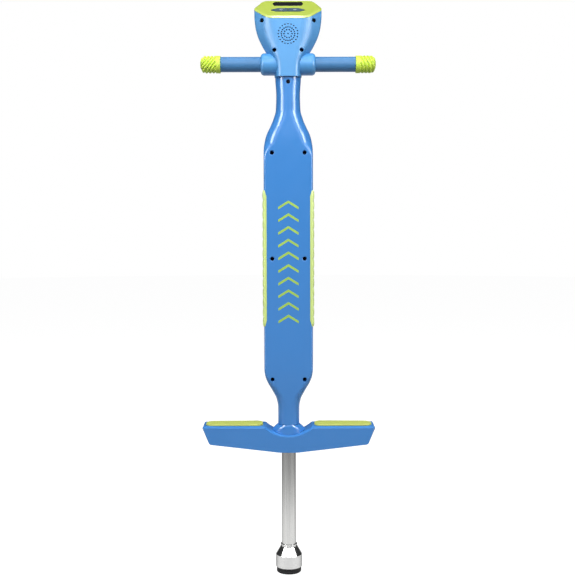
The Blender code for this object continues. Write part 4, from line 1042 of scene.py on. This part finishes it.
# ---- leg and foot
def leg():
    """The drawn steel tube, the polished foot socket and the rubber tip."""
    low, high = LEG_Z
    tube = turned([(LEG_R, low), (LEG_R, high), (LEG_BORE_R, high), (LEG_BORE_R, low)], 96)
    finished("leg_tube_drawn", tube, LEG_STEEL, "leg_tube", "leg")

    bore, rim, rim_low, rim_high = LEG_R + GAP, FOOT_RIM_R, 0.0095, 0.0303
    outside = eased([
        (bore, 0.0483), (0.0136, 0.0483), (0.0136, 0.0459), (0.0127, 0.0455), (0.0127, 0.0443),
        (0.014, 0.0438), (rim, rim_high), (rim, rim_low), (0.019, rim_low)],
        [0.0003, 0.0008, 0.0002, 0.0002, 0.0004, 0.0012, 0.0006])
    socket = [(0, 0.0197), (bore, 0.0197)] + outside + [(0.019, 0.0172), (0, 0.0172)]
    piece = finished("foot_socket", turned(socket, 128), (POLISHED, TURNED),
                     "foot_collar", "leg")
    for face in piece.data.polygons:
        spot = face.center
        outer = sqrt(spot.x**2 + spot.y**2) > rim - 0.0005
        face.material_index = 1 if outer and spot.z < 0.0296 else 0

    wide, narrow = RUBBER_R, RUBBER_R - 0.0005
    profile = eased([
        (0, 0.0169), (0.0187, 0.0169), (0.0187, 0.0092), (wide, 0.0092), (wide, 0.0058),
        (narrow, 0.0054), (narrow, 0.0044), (wide, 0.004), (wide, 0), (0.015, 0),
        (0.0144, 0.0009), (0.0128, 0.0009), (0.0122, 0), (0.0086, 0), (0.008, 0.0009),
        (0.0064, 0.0009), (0.0058, 0), (0, 0)],
        [0.0003, 0.0003, 0.0004, 0.0003, 0.0002, 0.0002, 0.0003, 0.003] + [0.0002] * 8)
    finished("foot_tip", turned(profile, 128), BLACK_RUBBER, "rubber_foot", "leg")


def spring():
    """The coil spring at its set length, with closed turns at each end."""
    low, high = SPRING_Z
    count = SPRING_TURNS * 32
    closed = 1.5 / SPRING_TURNS
    tight = 2.3 * SPRING_WIRE_R * 1.5
    start, end = low + SPRING_WIRE_R + GAP, high - SPRING_WIRE_R - GAP
    rings = []
    for i in range(count + 1):
        share = i / count
        if share < closed:
            height = start + tight * share / closed
        elif share > 1 - closed:
            height = end - tight * (1 - share) / closed
        else:
            height = start + tight + (end - start - 2 * tight) * (share - closed) / (1 - 2 * closed)
        angle = 2 * pi * SPRING_TURNS * share
        out = Vector((cos(angle), sin(angle), 0))
        centre = out * SPRING_R + Vector((0, 0, height))
        rings.append([centre + (out * cos(b) + Vector((0, 0, sin(b)))) * SPRING_WIRE_R
                      for b in around(12)])
    piece = finished("spring_coil", loft(rings), SPRING_STEEL, "spring")
    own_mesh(piece)


# ---- assembly
column()
side_pad("pad_left", -1, "side_pad_left")
side_pad("pad_right", 1, "side_pad_right")
front_graphic()
head()
bezel()
key("key_cap_left", -1, "key_left", "left_key")
key("key_cap_right", 1, "key_right", "right_key")
battery_door()
for tail, side in (("_left", -1), ("_right", 1)):
    sleeve("sleeve" + tail, side, "grip_sleeve" + tail)
    grip("grip" + tail, side, "grip_end" + tail)
    tread("tread" + tail, side, "foot_pad" + tail)
footrest()
collar()
leg()
spring()

# the CAD nodes that show only inside keep their shapes and get a finish
for look, nodes in (
        (ZINC, "frame_tube handlebar_tube handlebar_bolt handlebar_nut spring_pin"
               " footrest_bar_front footrest_bar_rear"),
        (NYLON, "plunger_bush guide_bush spring_seat"), (BLACK_RUBBER, "bump_stop"),
        (DARK_PLASTIC, "display_module speaker battery_tray"), (BOARD, "circuit_board"),
        (CELL, "battery_cell_1 battery_cell_2 battery_cell_3")):
    for node in nodes.split():
        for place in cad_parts[node].material_slots:
            place.material = look


# ---- floor, light and camera
def area_light(name, spot, target, size, radiance, glossy=True, diffuse=True):
    """A soft box whose brightness is given as radiance."""
    lamp = bpy.data.lights.new(name, "AREA")
    lamp.shape = "RECTANGLE"
    lamp.size, lamp.size_y = size
    lamp.energy = radiance * pi * size[0] * size[1]
    made = add_piece(name, lamp)
    made.location = spot
    aim = Vector(target) - Vector(spot)
    made.rotation_euler = aim.to_track_quat("-Z", "Y").to_euler()
    made.visible_camera = False
    made.visible_glossy = glossy
    made.visible_diffuse = diffuse


def studio():
    """A pale floor and soft boxes over, before and beside the object."""
    work = bmesh.new()
    bmesh.ops.create_circle(work, cap_ends=True, segments=96, radius=9)
    floor = add_piece("floor", mesh_from(work, False))
    pale = bpy.data.materials.new("pale_floor")
    pale.use_nodes = True
    dial(pale.node_tree.nodes["Principled BSDF"], {
        "Base Color": (0.22, 0.22, 0.22, 1), "Roughness": 0.9, "Specular IOR Level": 0,
        "Emission Color": (1, 1, 1, 1), "Emission Strength": 0.97})
    floor.data.materials.append(pale)
    floor.visible_diffuse = False

    area_light("key_box", (0, -1.2, 1.9), (0, 0, 0.95), (1.6, 1), 7.8, glossy=False)
    area_light("bounce", (0, 0, 0.01), (0, 0, 1), (3, 3), 0.28, glossy=False)
    area_light("rear_key", (0, 1.8, 1.7), (0, 0, 0.5), (1.6, 1), 5, glossy=False)
    area_light("top_box", (0, -0.25, 2.2), (0, 0, 0.8), (1.6, 1.2), 0.9)
    area_light("top_card", (0, -0.3, 2.3), (0, -0.3, 0.8), (1.6, 1.1), 3, diffuse=False)
    area_light("rim_card", (0, -0.01, 1.5), (0, -0.01, 0.8), (0.09, 0.26), 14, diffuse=False)
    area_light("front_card", (0, -1.6, 1.62), (0, 0, 1.2), (1.8, 1.1), 4.2, diffuse=False)
    reach = 1.5
    for side, end in ((-1, "left"), (1, "right")):
        for card, angle, height, size, radiance in (
                ("neck_card_", 61, 0.97, (0.5, 0.2), 26),
                ("shoulder_card_", 50, 1.3, (0.62, 0.46), 26),
                ("head_card_", 58, 0.78, (0.6, 0.18), 13),
                ("low_card_", 62, 0.32, (0.8, 0.5), 4)):
            spot = (side * reach * sin(radians(angle)), -reach * cos(radians(angle)), height)
            area_light(card + end, spot, (0, 0, height), size, radiance, diffuse=False)
        area_light("side_fill_" + end, (side * 1.7, -0.7, 1.5), (0, 0, 0.9), (0.9, 0.9),
                   5, glossy=False)

    world = bpy.data.worlds.new("studio")
    bpy.context.scene.world = world
    world.use_nodes = True
    tree = world.node_tree
    back = dial(tree.nodes["Background"], {"Color": (1, 1, 1, 1)})
    fill = dial(tree.nodes.new("ShaderNodeBackground"),
                {"Color": (0.93, 0.96, 1, 1), "Strength": 0.06})
    rays = tree.nodes.new("ShaderNodeLightPath")
    choose = tree.nodes.new("ShaderNodeMixShader")
    link(tree, rays, "Is Camera Ray", choose, "Fac")
    link(tree, fill, 0, choose, 1)
    link(tree, back, 0, choose, 2)
    link(tree, choose, 0, tree.nodes["World Output"], "Surface")
    bpy.context.scene.view_settings.view_transform = "Standard"


def camera():
    """The photograph's viewpoint: low, square on and a little above the middle."""
    lens = bpy.data.cameras.new("camera")
    lens.sensor_width = 36
    lens.lens = 65.99
    pitch, roll = radians(90 - 3.88), radians(0.12)
    made = add_piece("camera", lens)
    made.location = (-0.0014, -1.75, 0.6)
    made.rotation_euler = (pitch, roll, 0)
    bpy.context.scene.camera = made


studio()
camera()
